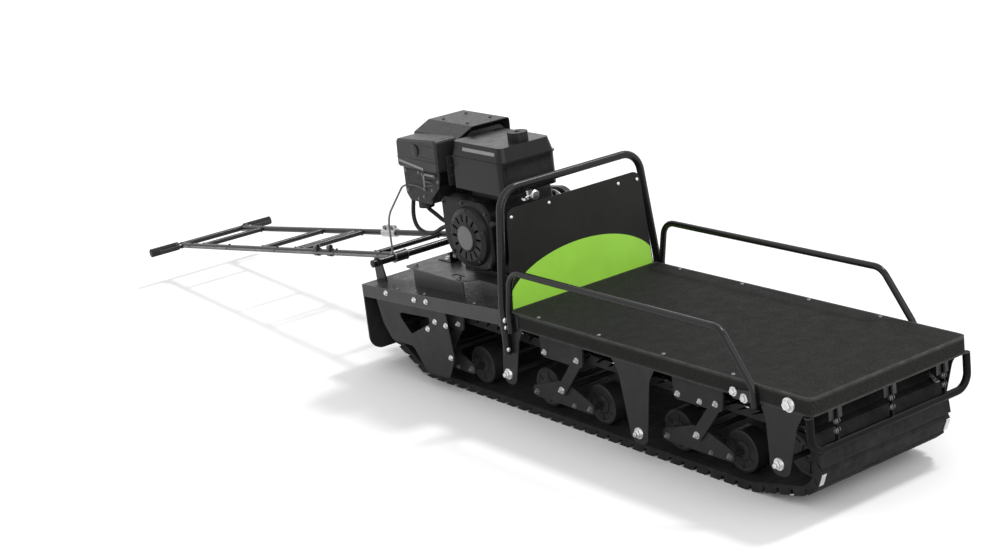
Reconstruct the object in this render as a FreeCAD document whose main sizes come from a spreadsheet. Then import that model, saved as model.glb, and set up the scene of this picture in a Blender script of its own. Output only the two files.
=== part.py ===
import FreeCAD, Part
import math
import os
import Sketcher
from FreeCAD import Placement, Rotation, Vector

# Motorised snow tug: a tracked chassis with a cargo platform in front, an engine behind it and a
# long steering frame hinged at the rear. Millimetres, +X forwards, +Y to the left, +Z up.
# While it is built, X = 0 is the back edge of the cargo platform and Z = 0 is the ground.

doc = FreeCAD.newDocument("snow_tug")
sheet = doc.addObject("Spreadsheet::Sheet", "dims")

DIMENSIONS = {
    # body
    "body_width": 600,
    "cargo_length": 1270,
    "rear_length": 840,
    "hitch_back": 885,
    "hitch_drop": 82,
    "hitch_hole": 17,
    "deck_top": 350,
    "deck_drop": 57,
    "skirt_depth": 50,
    "sheet_steel": 3,
    "corner_radius": 22,
    "frame_bar_height": 40,
    "frame_bar_width": 30,
    "cross_bar_width": 40,
    # bulkhead and rails
    "hoop_tube": 25,
    "hoop_top": 722,
    "hoop_half_top": 272,
    "hoop_bend": 70,
    "panel_top": 662,
    "rail_tube": 20,
    "rail_top": 487,
    "rail_rear_top": 44,
    "rail_front_top": 962,
    "rail_front_foot": 1072,
    "rail_bend": 55,
    "bumper_tube": 22,
    "bumper_bend": 45,
    "bumper_drop": 150,
    "strap_inset": 40,
    # undercarriage
    "track_clearance": 50,
    "belt_thickness": 10,
    "lug_height": 18,
    "lug_pitch": 54,
    "sprocket_teeth": 9,
    "sprocket_width": 24,
    "sprocket_back": 690,
    "sprocket_height": 170,
    "idler_ahead": 1137,
    "idler_height": 141,
    "wheel_radius": 77,
    "roller_radius": 63,
    "roller_inset": 60,
    "roller_width": 50,
    "axle_diameter": 16,
    "track_bend": 90,
    "flat_front": 955,
    "flat_back": 560,
    "drive_axle_diameter": 25,
    "hanger_rear": 38,
    "hanger_middle": 570,
    "tie_height": 91,
    "module_pitch": 600,
    "module_ahead": 185,
    "pivot_height": 127,
    "roller_back": 136,
    "roller_front": 120,
    # engine
    "crank_back": 312,
    "engine_lift": 28,
    "crank_rise": 136,
    "fan_reach": 150,
    "recoil_radius": 98,
    "recoil_face": 215,
    "tank_rise": 146,
    "tank_depth": 102,
    "tank_crown": 48,
    "cap_height": 26,
    "cylinder_slope": 25,
    "cylinder_start": 100,
    "cylinder_length": 110,
    "head_length": 30,
    "cover_length": 32,
    "fin_pitch": 10,
    "fin_sheet": 3,
    "cylinder_middle": 30,
    # drive
    "drive_pulley_radius": 72,
    "driven_pulley_radius": 100,
    "pulley_spacing": 330,
    "drive_groove": 36,
    "driven_groove": 76,
    "belt_lane": 130,
    "belt_guard_lane": 185,
    # steering frame
    "hinge_back": 822,
    "hinge_rise": 6,
    "hinge_bar": 25,
    "hinge_play": 0.05,
    "frame_tube": 22,
    "frame_gauge": 290,
    "frame_length": 1690,
    "grip_reach": 130,
    "grip_length": 108,
    "rail_sleeve": 44,
    "sleeve_diameter": 36,
    "cable": 7,
    "grip_diameter": 34,
}
for row, (alias, number) in enumerate(DIMENSIONS.items(), start=1):
    sheet.set(f"A{row}", str(number))
    sheet.setAlias(f"A{row}", alias)
doc.recompute()


class Size:
    """A length that knows its number and the sheet expression that gives it."""

    def __init__(self, number, text):
        self.number = number
        self.text = text

    def __add__(self, other):
        other = size(other)
        return Size(self.number + other.number, f"({self.text} + {other.text})")

    def __sub__(self, other):
        other = size(other)
        return Size(self.number - other.number, f"({self.text} - {other.text})")

    def __mul__(self, other):
        other = size(other)
        return Size(self.number * other.number, f"({self.text} * {other.text})")

    def __truediv__(self, other):
        other = size(other)
        return Size(self.number / other.number, f"({self.text} / {other.text})")

    def __neg__(self):
        return Size(-self.number, f"(0 - {self.text})")

    def __radd__(self, other):
        return size(other) + self

    def __rsub__(self, other):
        return size(other) - self

    def __rmul__(self, other):
        return size(other) * self

    def __float__(self):
        return float(self.number)


def size(value):
    if isinstance(value, Size):
        return value
    return Size(value, f"({value})")


class Sheet:
    """The driving dimensions, each read back from the spreadsheet by its alias."""

    def __getattr__(self, alias):
        return Size(float(sheet.get(alias)), f"dims.{alias}")


d = Sheet()
NODES = []
# a lug pitch is shared out as 3 steps of groove, 2 of flank, 13 of crest and 2 of flank
LUG_STEPS = 20
# how far behind the hinge the steering frame's cross tubes are
RUNGS = (175, 700, 745, 1000, 1500)


def bind(thing, prop, value):
    value = size(value)
    thing.setExpression(prop, value.text)


# ---------------------------------------------------------------- helpers for sketched solids


def new_body(label):
    return doc.addObject("PartDesign::Body", label)


def new_sketch(body, role, offset, name="Sketch"):
    """A sketch on one of the body's origin planes, moved along the plane's global axis."""
    sketch = body.newObject("Sketcher::SketchObject", name)
    plane = [o for o in body.Origin.OriginFeatures if o.Role == role][0]
    sketch.AttachmentSupport = [(plane, "")]
    sketch.MapMode = "FlatFace"
    along = size(offset)
    if role == "XZ_Plane":
        along = -along
    bind(sketch, "AttachmentOffset.Base.z", along)
    return sketch


def place_point(sketch, geometry, position, x, y):
    """Fix one point of a sketch to two sizes."""
    for kind, value in (("DistanceX", size(x)), ("DistanceY", size(y))):
        index = sketch.addConstraint(Sketcher.Constraint(kind, geometry, position, value.number))
        sketch.setExpression(f"Constraints[{index}]", value.text)


def draw(sketch, corners, closed=True):
    """Straight edges through corners (x, y) or (x, y, radius), each corner bound to its sizes.

    A corner with a radius is rounded by a tangent arc, and its sharp point is kept as construction."""
    sharp = [Vector(float(c[0]), float(c[1]), 0) for c in corners]
    radii = [float(c[2]) if len(c) > 2 else 0.0 for c in corners]
    count = len(corners)
    starts, ends, arcs = [], [], {}
    for i in range(count):
        here = sharp[i]
        if radii[i] == 0:
            starts.append(here)
            ends.append(here)
            continue
        back = (sharp[i - 1] - here).normalize()
        ahead = (sharp[(i + 1) % count] - here).normalize()
        half = back.getAngle(ahead) / 2
        run = radii[i] / math.tan(half)
        middle = (back + ahead).normalize()
        centre = here + middle * (radii[i] / math.sin(half))
        ends.append(here + back * run)
        starts.append(here + ahead * run)
        arcs[i] = Part.Arc(ends[i], centre - middle * radii[i], starts[i])
    lines = {}
    last = count if closed else count - 1
    for i in range(last):
        line = Part.LineSegment(starts[i], ends[(i + 1) % count])
        lines[i] = sketch.addGeometry(line, False)
    for i in range(count):
        before = lines.get((i - 1) % count) if closed or i > 0 else None
        after = lines.get(i)
        x, y = corners[i][0], corners[i][1]
        if i not in arcs:
            if before is not None and after is not None:
                sketch.addConstraint(Sketcher.Constraint("Coincident", before, 2, after, 1))
            if after is not None:
                place_point(sketch, after, 1, x, y)
            else:
                place_point(sketch, before, 2, x, y)
            continue
        arc = sketch.addGeometry(arcs[i], False)
        arc_start = sketch.getPoint(arc, 1)
        joins_before = 1 if arc_start.distanceToPoint(ends[i]) < 1e-6 else 2
        sketch.addConstraint(Sketcher.Constraint("Tangent", before, 2, arc, joins_before))
        sketch.addConstraint(Sketcher.Constraint("Tangent", arc, 3 - joins_before, after, 1))
        index = sketch.addConstraint(Sketcher.Constraint("Radius", arc, radii[i]))
        sketch.setExpression(f"Constraints[{index}]", size(corners[i][2]).text)
        point = sketch.addGeometry(Part.Point(sharp[i]), True)
        place_point(sketch, point, 1, x, y)
        sketch.addConstraint(Sketcher.Constraint("PointOnObject", point, 1, before))
        sketch.addConstraint(Sketcher.Constraint("PointOnObject", point, 1, after))


def draw_circle(sketch, x, y, radius):
    radius = size(radius)
    circle = sketch.addGeometry(
        Part.Circle(Vector(float(x), float(y), 0), Vector(0, 0, 1), radius.number), False
    )
    place_point(sketch, circle, 3, x, y)
    index = sketch.addConstraint(Sketcher.Constraint("Radius", circle, radius.number))
    sketch.setExpression(f"Constraints[{index}]", radius.text)


def add_pad(body, role, start, length, corners, holes=()):
    """Pad an outline on an origin plane along that plane's global axis."""
    sketch = new_sketch(body, role, start)
    draw(sketch, corners)
    for hole in holes:
        if len(hole) == 3 and not isinstance(hole[0], tuple):
            draw_circle(sketch, *hole)
        else:
            draw(sketch, hole)
    pad = body.newObject("PartDesign::Pad", "Pad")
    pad.Profile = (sketch, [""])
    bind(pad, "Length", length)
    pad.Reversed = role == "XZ_Plane"
    sketch.Visibility = False
    return pad


def prism(label, role, start, length, corners, holes=()):
    """A plate or bar: an outline on an origin plane, padded along that plane's global axis."""
    body = new_body(label)
    add_pad(body, role, start, length, corners, holes)
    return body


def add_loft(body, role, start, corners, end, far_corners):
    """A tapered form between two outlines on planes parallel to an origin plane."""
    near = new_sketch(body, role, start)
    draw(near, corners)
    far = new_sketch(body, role, end)
    draw(far, far_corners)
    doc.recompute()
    loft = body.newObject("PartDesign::AdditiveLoft", "Loft")
    loft.Profile = (near, [""])
    loft.Sections = [(far, [""])]
    loft.Ruled = True
    near.Visibility = False
    far.Visibility = False


def face_names(shape, axis, position):
    """The names of a shape's flat faces that lie across an axis at a position."""
    names = []
    for index, face in enumerate(shape.Faces, start=1):
        ends = (getattr(face.BoundBox, axis + "Min"), getattr(face.BoundBox, axis + "Max"))
        if max(abs(end - float(position)) for end in ends) < 0.01:
            names.append(f"Face{index}")
    return names


def chamfered(body, axis, position, amount):
    """Break the edges of the body's flat face that lies across an axis at a position."""
    doc.recompute()
    solid = body.Tip
    edge = body.newObject("PartDesign::Chamfer", "Chamfer")
    edge.Base = (solid, face_names(solid.Shape, axis, position))
    bind(edge, "Size", amount)
    return body


def toothed(label, role, start, length, centre, root, tip, teeth):
    """A disc whose rim is cut into equal straight-sided teeth."""
    corners = []
    for tooth in range(teeth):
        for share, reach in ((0.0, root), (0.4, root), (0.52, tip), (0.88, tip)):
            angle = 2 * math.pi * (tooth + share) / teeth
            corners.append((centre[0] + reach * round(math.cos(angle), 6),
                            centre[1] + reach * round(math.sin(angle), 6)))
    return prism(label, role, start, length, corners)


def octagon(half_wide, half_high, corner):
    """A rectangle about the origin with its corners cut off."""
    return [
        (-half_wide, corner - half_high),
        (corner - half_wide, -half_high),
        (half_wide - corner, -half_high),
        (half_wide, corner - half_high),
        (half_wide, half_high - corner),
        (half_wide - corner, half_high),
        (corner - half_wide, half_high),
        (-half_wide, half_high - corner),
    ]


def rounded_box(x_low, x_high, y_low, y_high, radius):
    """The corners of a rectangle in plan, each rounded."""
    return [(x_low, y_low, radius), (x_high, y_low, radius), (x_high, y_high, radius),
            (x_low, y_high, radius)]


def tube(label, role, offset, corners, diameter):
    """A bent round bar whose path lies in an origin plane and starts along that plane's vertical
    or, on the XY plane, along X."""
    body = new_body(label)
    path = new_sketch(body, role, offset, "Path")
    draw(path, corners, closed=False)
    x, y = corners[0][0], corners[0][1]
    profile_role = {"XZ_Plane": "XY_Plane", "YZ_Plane": "XY_Plane", "XY_Plane": "YZ_Plane"}[role]
    level = {"XZ_Plane": y, "YZ_Plane": y, "XY_Plane": x}[role]
    section = new_sketch(body, profile_role, level, "Section")
    place = {"XZ_Plane": (x, offset), "YZ_Plane": (offset, x), "XY_Plane": (y, offset)}[role]
    draw_circle(section, place[0], place[1], size(diameter) / 2)
    doc.recompute()
    pipe = body.newObject("PartDesign::AdditivePipe", "Pipe")
    pipe.Profile = (section, [""])
    edges = [f"Edge{i + 1}" for i in range(len(path.Shape.Edges))]
    pipe.Spine = (path, edges)
    path.Visibility = False
    section.Visibility = False
    return body


def turned(label, corners, centre=(0, 0, 0)):
    """A turned part: corners (radius, width position) revolved about the Y axis."""
    body = new_body(label)
    sketch = new_sketch(body, "XY_Plane", 0)
    draw(sketch, corners)
    spin = body.newObject("PartDesign::Revolution", "Revolution")
    spin.Profile = (sketch, [""])
    spin.ReferenceAxis = (sketch, ["V_Axis"])
    spin.Angle = 360
    move(body, centre)
    return body


def move(thing, centre):
    for axis, value in zip("xyz", centre):
        bind(thing, f"Placement.Base.{axis}", value)


def box(label, low, high):
    """A plain bar between two corners."""
    solid = doc.addObject("Part::Box", label)
    for prop, a, b in zip(("Length", "Width", "Height"), low, high):
        bind(solid, prop, size(b) - size(a))
    move(solid, low)
    return solid


def rod(label, start, length, diameter, axis="Y"):
    """A round bar along a global axis, from its start point."""
    solid = doc.addObject("Part::Cylinder", label)
    bind(solid, "Radius", size(diameter) / 2)
    bind(solid, "Height", length)
    turn = {"X": (Vector(0, 1, 0), 90), "Y": (Vector(1, 0, 0), -90), "Z": (Vector(0, 0, 1), 0)}
    solid.Placement = Placement(Vector(), Rotation(*turn[axis]))
    move(solid, start)
    return solid


def fuse(label, parts):
    joined = doc.addObject("Part::MultiFuse", label)
    joined.Shapes = parts
    joined.Refine = True
    return joined


def cut(label, base, tool):
    result = doc.addObject("Part::Cut", label)
    result.Base = base
    result.Tool = tool
    return result


def mirrored(label, source):
    """The same part on the other side of the vehicle."""
    copy = doc.addObject("Part::Mirroring", label)
    copy.Source = source
    copy.Base = Vector(0, 0, 0)
    copy.Normal = Vector(0, 1, 0)
    return copy


def group(label, parts):
    compound = doc.addObject("Part::Compound", label)
    compound.Links = parts
    return compound


def node(name, thing):
    """Name a finished sub-part: its label is the name of its file."""
    thing.Label = name
    NODES.append(thing)
    return thing


# ---------------------------------------------------------------- sizes worked out from the sheet

half_width = d.body_width / 2
skirt_in = half_width - d.sheet_steel
deck_under = d.deck_top - d.sheet_steel
bar_in = skirt_in - d.frame_bar_width
half_track = half_width - d.track_clearance
hitch_height = d.deck_top - d.hitch_drop
hinge_height = d.deck_top + d.hinge_rise
engine_base = d.deck_top + d.engine_lift
crank_height = engine_base + d.crank_rise
tank_base = crank_height + d.tank_rise
tank_seam = tank_base + d.tank_depth
tank_top = tank_seam + d.tank_crown


def rear_under(back):
    """Height of the underside of the sloping engine deck, a distance behind the bulkhead."""
    return deck_under - d.deck_drop * size(back) / d.rear_length


# ---------------------------------------------------------------- chassis


def make_main_frame():
    back_end = d.rear_length - d.sheet_steel
    side = prism(
        "side_bar",
        "XZ_Plane",
        bar_in,
        d.frame_bar_width,
        [
            (-back_end, rear_under(back_end) - d.frame_bar_height),
            (size(0), deck_under - d.frame_bar_height),
            (d.cargo_length - d.corner_radius, deck_under - d.frame_bar_height),
            (d.cargo_length - d.corner_radius, deck_under),
            (size(0), deck_under),
            (-back_end, rear_under(back_end)),
        ],
    )
    bars = [side, mirrored("side_bar_right", side)]
    for ahead in (d.cargo_length - d.sheet_steel - d.cross_bar_width, d.cargo_length * 0.62,
                  d.cargo_length * 0.3, size(0)):
        bars.append(
            box(
                "cross_bar",
                (ahead, -bar_in, deck_under - d.frame_bar_height),
                (ahead + d.cross_bar_width, bar_in, deck_under),
            )
        )
    for back, depth in ((back_end, d.frame_bar_height), (d.rear_length * 0.5, size(24))):
        low = rear_under(back) - depth
        bars.append(
            box(
                "rear_cross_bar",
                (-back, -bar_in, low),
                (-back + d.frame_bar_width, bar_in, low + depth),
            )
        )
    node("main_frame", fuse("main_frame", bars))


def make_cargo_deck():
    body = prism(
        "cargo_deck",
        "XY_Plane",
        d.deck_top - d.skirt_depth,
        d.skirt_depth,
        [
            (size(0), -half_width),
            (d.cargo_length, -half_width, d.corner_radius),
            (d.cargo_length, half_width, d.corner_radius),
            (size(0), half_width),
        ],
    )
    inside = new_sketch(body, "XY_Plane", d.deck_top - d.skirt_depth, "Inside")
    draw(
        inside,
        [
            (size(-1), -skirt_in),
            (d.cargo_length - d.sheet_steel, -skirt_in, d.corner_radius - d.sheet_steel),
            (d.cargo_length - d.sheet_steel, skirt_in, d.corner_radius - d.sheet_steel),
            (size(-1), skirt_in),
        ],
    )
    pocket = body.newObject("PartDesign::Pocket", "Hollow")
    pocket.Profile = (inside, [""])
    bind(pocket, "Length", d.skirt_depth - d.sheet_steel)
    pocket.Reversed = True
    node("cargo_deck", body)


def make_engine_deck():
    back = d.rear_length
    top = prism(
        "engine_deck_top",
        "XZ_Plane",
        -half_width,
        d.body_width,
        [
            (-back, rear_under(back)),
            (-d.sheet_steel, rear_under(d.sheet_steel)),
            (-d.sheet_steel, rear_under(d.sheet_steel) + d.sheet_steel),
            (-back, rear_under(back) + d.sheet_steel),
        ],
    )
    side = prism(
        "engine_deck_side",
        "XZ_Plane",
        skirt_in,
        d.sheet_steel,
        [
            (-back, rear_under(back) - d.frame_bar_height),
            (size(0), d.deck_top - d.skirt_depth),
            (size(0), d.deck_top),
            (-back, rear_under(back) + d.sheet_steel),
        ],
    )
    end = box(
        "engine_deck_end",
        (-back, -half_width, rear_under(back) - d.frame_bar_height),
        (-back + d.sheet_steel, half_width, rear_under(back)),
    )
    node("engine_deck", fuse("engine_deck", [top, side, mirrored("engine_deck_left", side), end]))


def make_bulkhead():
    inner = d.hoop_half_top - d.hoop_tube / 2 + 2
    panel = prism(
        "bulkhead_panel",
        "YZ_Plane",
        -d.sheet_steel,
        d.sheet_steel,
        [
            (-half_width + 14, deck_under),
            (half_width - 14, deck_under),
            (inner, d.panel_top, size(30)),
            (-inner, d.panel_top, size(30)),
        ],
    )
    node("bulkhead_panel", panel)
    post = half_width + d.hoop_tube / 2
    foot = d.deck_top - 135
    hoop = tube(
        "bulkhead_hoop",
        "YZ_Plane",
        -d.hoop_tube / 2,
        [
            (-post, foot),
            (-post, d.deck_top + 18, size(250)),
            (-d.hoop_half_top, d.hoop_top, d.hoop_bend),
            (d.hoop_half_top, d.hoop_top, d.hoop_bend),
            (post, d.deck_top + 18, size(250)),
            (post, foot),
        ],
        d.hoop_tube,
    )
    node("bulkhead_hoop", hoop)


def make_side_rails():
    lane = half_width + d.rail_tube / 2
    foot = d.deck_top - d.skirt_depth - 12
    bar = tube(
        "rail_tube",
        "XZ_Plane",
        -lane,
        [
            (size(14), foot),
            (size(14), d.deck_top, size(40)),
            (d.rail_rear_top, d.rail_top, d.rail_bend),
            (d.rail_front_top, d.rail_top, d.rail_bend),
            (d.rail_front_foot, d.deck_top - 10, size(40)),
            (d.rail_front_foot, foot),
        ],
        d.rail_tube,
    )
    rear_foot = prism(
        "rail_rear_foot",
        "XZ_Plane",
        -half_width - 3,
        size(3),
        [
            (size(2), foot + 12, size(6)),
            (size(46), foot + 12, size(6)),
            (size(46), d.deck_top - 4, size(6)),
            (size(2), d.deck_top - 4, size(6)),
        ],
    )
    front_foot = prism(
        "rail_front_foot_plate",
        "XZ_Plane",
        -half_width - 3,
        size(3),
        [
            (d.rail_front_foot - 95, foot + 4, size(10)),
            (d.rail_front_foot + 12, foot + 4, size(8)),
            (d.rail_front_foot + 12, foot + 44, size(8)),
            (d.rail_front_foot - 95, foot + 28, size(10)),
        ],
    )
    right = fuse("right_rail", [bar, rear_foot, front_foot])
    node("right_rail", right)
    node("left_rail", mirrored("left_rail", right))


def skirt_edge(ahead):
    """Height of the skirt's lower edge: level along the platform, sloping behind the bulkhead."""
    level = d.deck_top - d.skirt_depth
    if float(ahead) >= 0:
        return level
    return level + ahead * (level - rear_under(d.rear_length) + d.frame_bar_height) / d.rear_length


def bar_edge(ahead):
    """Height of the underside of the frame's side bars."""
    if float(ahead) >= 0:
        return deck_under - d.frame_bar_height
    return rear_under(-ahead) - d.frame_bar_height


def link(label, start, thickness, low, high, radius):
    """A flat link with rounded ends round two pins."""
    along = Vector(float(high[0]) - float(low[0]), float(high[1]) - float(low[1]), 0).normalize()
    over = Vector(-along.y, along.x, 0)
    corners = []
    for pin, out, side in ((low, -1, -1), (high, 1, -1), (high, 1, 1), (low, -1, 1)):
        reach = along * (out * radius) + over * (side * radius)
        corners.append((pin[0] + reach.x, pin[1] + reach.y, size(radius - 1)))
    return prism(label, "XZ_Plane", start, thickness, corners)


def make_hangers():
    """Tapered plates below the skirt, each with a rounded lower end round a cross shaft."""
    plates = []
    end = size(33)
    for ahead, height, half, lean in (
        (-d.hanger_rear, d.idler_height, size(58), size(38)),
        (d.hanger_middle, d.tie_height, size(92), size(0)),
        (d.idler_ahead, d.idler_height, size(78), size(24)),
    ):
        back = ahead - half + lean
        front = ahead + half + lean
        corners = [
            (back, skirt_edge(back)),
            (ahead - half * 0.72 + lean * 0.8, skirt_edge(back) - 40, size(60)),
            (ahead - end, height - end, size(31)),
            (ahead + end, height - end, size(31)),
            (ahead + half * 0.72 + lean * 0.8, skirt_edge(front) - 40, size(60)),
            (front, skirt_edge(front)),
        ]
        if float(back) < 0 < float(front):
            corners.append((size(0), skirt_edge(size(0))))
        plate = prism("hanger_plate", "XZ_Plane", -half_width, d.sheet_steel, corners)
        plates += [plate, mirrored("hanger_plate_left", plate)]
    node("hangers", group("hangers", plates))


def make_rear_plates():
    outline = [
        (size(-758), skirt_edge(size(-758))),
        (size(-732), size(176), size(40)),
        (size(-688), size(124), size(30)),
        (size(-564), size(126), size(30)),
        (size(-498), size(46), size(30)),
        (size(-372), size(52), size(40)),
        (size(-330), size(130), size(40)),
        (size(-352), skirt_edge(size(-352))),
    ]
    window = [
        (size(-640), size(232), size(12)),
        (size(-566), size(168), size(12)),
        (size(-448), size(226), size(8)),
        (size(-452), size(246), size(8)),
    ]
    plate = prism("right_rear_plate", "XZ_Plane", -half_width, d.sheet_steel, outline, [window])
    node("right_rear_plate", plate)
    axle_hole = rod("axle_hole", (-d.sprocket_back, skirt_in - 1, d.sprocket_height),
                    d.sheet_steel + 2, d.drive_axle_diameter)
    node("left_rear_plate", cut("left_rear_plate", mirrored("left_plate", plate), axle_hole))


def make_mudflap():
    flap = prism(
        "mudflap",
        "YZ_Plane",
        -d.rear_length - 6,
        size(6),
        [
            (-half_width + 4, size(52), size(50)),
            (half_width - 4, size(52), size(50)),
            (half_width - 4, rear_under(d.rear_length)),
            (size(70), rear_under(d.rear_length)),
            (size(70), hitch_height - 22),
            (size(-70), hitch_height - 22),
            (size(-70), rear_under(d.rear_length)),
            (-half_width + 4, rear_under(d.rear_length)),
        ],
    )
    node("mudflap", flap)


def make_tow_hitch():
    """A plate on the rear edge of the deck with a rounded tongue and its pin hole."""
    plate = box("hitch_plate", (-d.rear_length - 6, size(-60), hitch_height - 16),
                (-d.rear_length, size(60), hitch_height + 22))
    tongue = prism(
        "hitch_tongue",
        "XY_Plane",
        hitch_height - 4,
        size(8),
        [
            (-d.rear_length - 6, size(-30)),
            (-d.hitch_back - 30, size(-30), size(29)),
            (-d.hitch_back - 30, size(30), size(29)),
            (-d.rear_length - 6, size(30)),
        ],
        [(-d.hitch_back, size(0), d.hitch_hole / 2)],
    )
    node("tow_hitch", fuse("tow_hitch", [plate, tongue]))


def make_front_bumper():
    """A bent tube under the front edge: a straight bar on three straps, and an end that turns up
    to the platform on each side."""
    lane = half_width
    bar_height = d.deck_top - d.bumper_drop
    joint = lane - d.bumper_bend - 10
    deck_edge = d.deck_top - d.skirt_depth
    ahead = d.cargo_length - 8
    right = tube(
        "right_bumper_end",
        "YZ_Plane",
        ahead,
        [(-lane, deck_edge), (-lane, bar_height, d.bumper_bend), (-joint, bar_height)],
        d.bumper_tube,
    )
    node("right_bumper_end", right)
    node("left_bumper_end", mirrored("left_bumper_end", right))
    parts = [rod("bumper_bar", (ahead, -joint, bar_height), joint * 2, d.bumper_tube)]
    for side in (-1, 0, 1):
        strap = (joint - d.strap_inset) * side
        parts.append(
            box(
                "bumper_strap",
                (d.cargo_length - 14, strap - 3, bar_height),
                (d.cargo_length - 3, strap + 3, deck_edge),
            )
        )
    node("front_bumper", fuse("front_bumper", parts))


# ---------------------------------------------------------------- undercarriage

def loop_wire(stops, offset):
    """The closed outline of a belt an offset outside the circles (x, z, radius) it runs round."""
    rings = [(x, z, radius + offset) for x, z, radius in stops]
    count = len(rings)
    spans = []
    for i in range(count):
        ax, az, ar = rings[i]
        bx, bz, br = rings[(i + 1) % count]
        along = math.atan2(bz - az, bx - ax)
        lift = along + math.pi / 2 + math.asin((br - ar) / math.hypot(bx - ax, bz - az))
        side = Vector(math.cos(lift), 0, math.sin(lift))
        spans.append((Vector(ax, 0, az) + side * ar, Vector(bx, 0, bz) + side * br, lift))
    edges = []
    for i in range(count):
        start, end, lift = spans[i]
        edges.append(Part.LineSegment(start, end).toShape())
        x, z, r = rings[(i + 1) % count]
        following = spans[(i + 1) % count]
        middle = lift + ((following[2] - lift) % (-2 * math.pi)) / 2
        via = Vector(x + r * math.cos(middle), 0, z + r * math.sin(middle))
        edges.append(Part.Arc(end, via, following[0]).toShape())
    return Part.Wire(edges)


def loop_solid(label, stops, inside, outside, start, width):
    """A plain belt between two offsets from its circles."""
    across = Vector(0, width, 0)
    outer = Part.Face(loop_wire(stops, outside)).extrude(across)
    belt = doc.addObject("Part::Feature", label)
    belt.Shape = outer.cut(Part.Face(loop_wire(stops, inside)).extrude(across))
    belt.Placement = Placement(Vector(0, start, 0), Rotation())
    return belt


def track_stops():
    """The circles that the track runs round, clockwise as seen from the right-hand side."""
    bend = float(d.track_bend)
    rest = float(d.lug_height) + float(d.belt_thickness) + bend
    return [
        (-float(d.sprocket_back), float(d.sprocket_height), float(d.wheel_radius)),
        (float(d.idler_ahead), float(d.idler_height), float(d.wheel_radius)),
        (float(d.flat_front), rest, bend),
        (-float(d.flat_back), rest, bend),
    ]


def make_track():
    """One closed rubber loop with its lugs in its outline."""
    width = float(half_track * 2)
    stops = track_stops()
    outer = loop_wire(stops, float(d.belt_thickness))
    tip = loop_wire(stops, float(d.belt_thickness) + float(d.lug_height))
    count = int(outer.Length / float(d.lug_pitch))
    root = outer.discretize(Number=count * LUG_STEPS + 1)
    crest = tip.discretize(Number=count * LUG_STEPS + 1)
    points = []
    for first in range(0, count * LUG_STEPS, LUG_STEPS):
        groove_end, crest_start, crest_end = first + 3, first + 5, first + 18
        points += [root[first], root[groove_end], crest[crest_start], crest[crest_end]]
    across = Vector(0, width, 0)
    solid = Part.Face(Part.makePolygon(points + [points[0]])).extrude(across)
    track = doc.addObject("Part::Feature", "track")
    track.Shape = solid.cut(Part.Face(loop_wire(stops, 0)).extrude(across))
    track.Placement = Placement(Vector(0, -width / 2, 0), Rotation())
    node("track", track)


def make_drive_shaft():
    """The driven axle and its sprockets; its left end runs into the chain case."""
    parts = [rod("drive_axle", (-d.sprocket_back, -skirt_in, d.sprocket_height),
                 skirt_in + half_width + 2, d.drive_axle_diameter)]
    for lane in (-140, 0, 140):
        parts.append(
            toothed("sprocket", "XZ_Plane", size(lane) - d.sprocket_width / 2, d.sprocket_width,
                    (-d.sprocket_back, d.sprocket_height), d.wheel_radius - 14,
                    d.wheel_radius - 0.5, int(float(d.sprocket_teeth)))
        )
    node("drive_shaft", fuse("drive_shaft", parts))


def make_front_idler():
    parts = [rod("idler_axle", (d.idler_ahead, -skirt_in, d.idler_height), skirt_in * 2,
                 d.axle_diameter)]
    for lane in (-170, 0, 170):
        parts.append(
            rod("idler_wheel", (d.idler_ahead, size(lane - 20), d.idler_height), size(40),
                (d.wheel_radius - 0.5) * 2)
        )
    node("front_idler", fuse("front_idler", parts))


def module_centres():
    """The pivots of the three roller carriers along the vehicle."""
    return [d.module_ahead + d.module_pitch * step for step in (-1, 0, 1)]


def carrier_lane(side, gap, thickness):
    """Where a plate beside the track starts across the vehicle: gap is its distance outside it."""
    if side > 0:
        return half_track + gap
    return -half_track - gap - thickness


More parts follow.
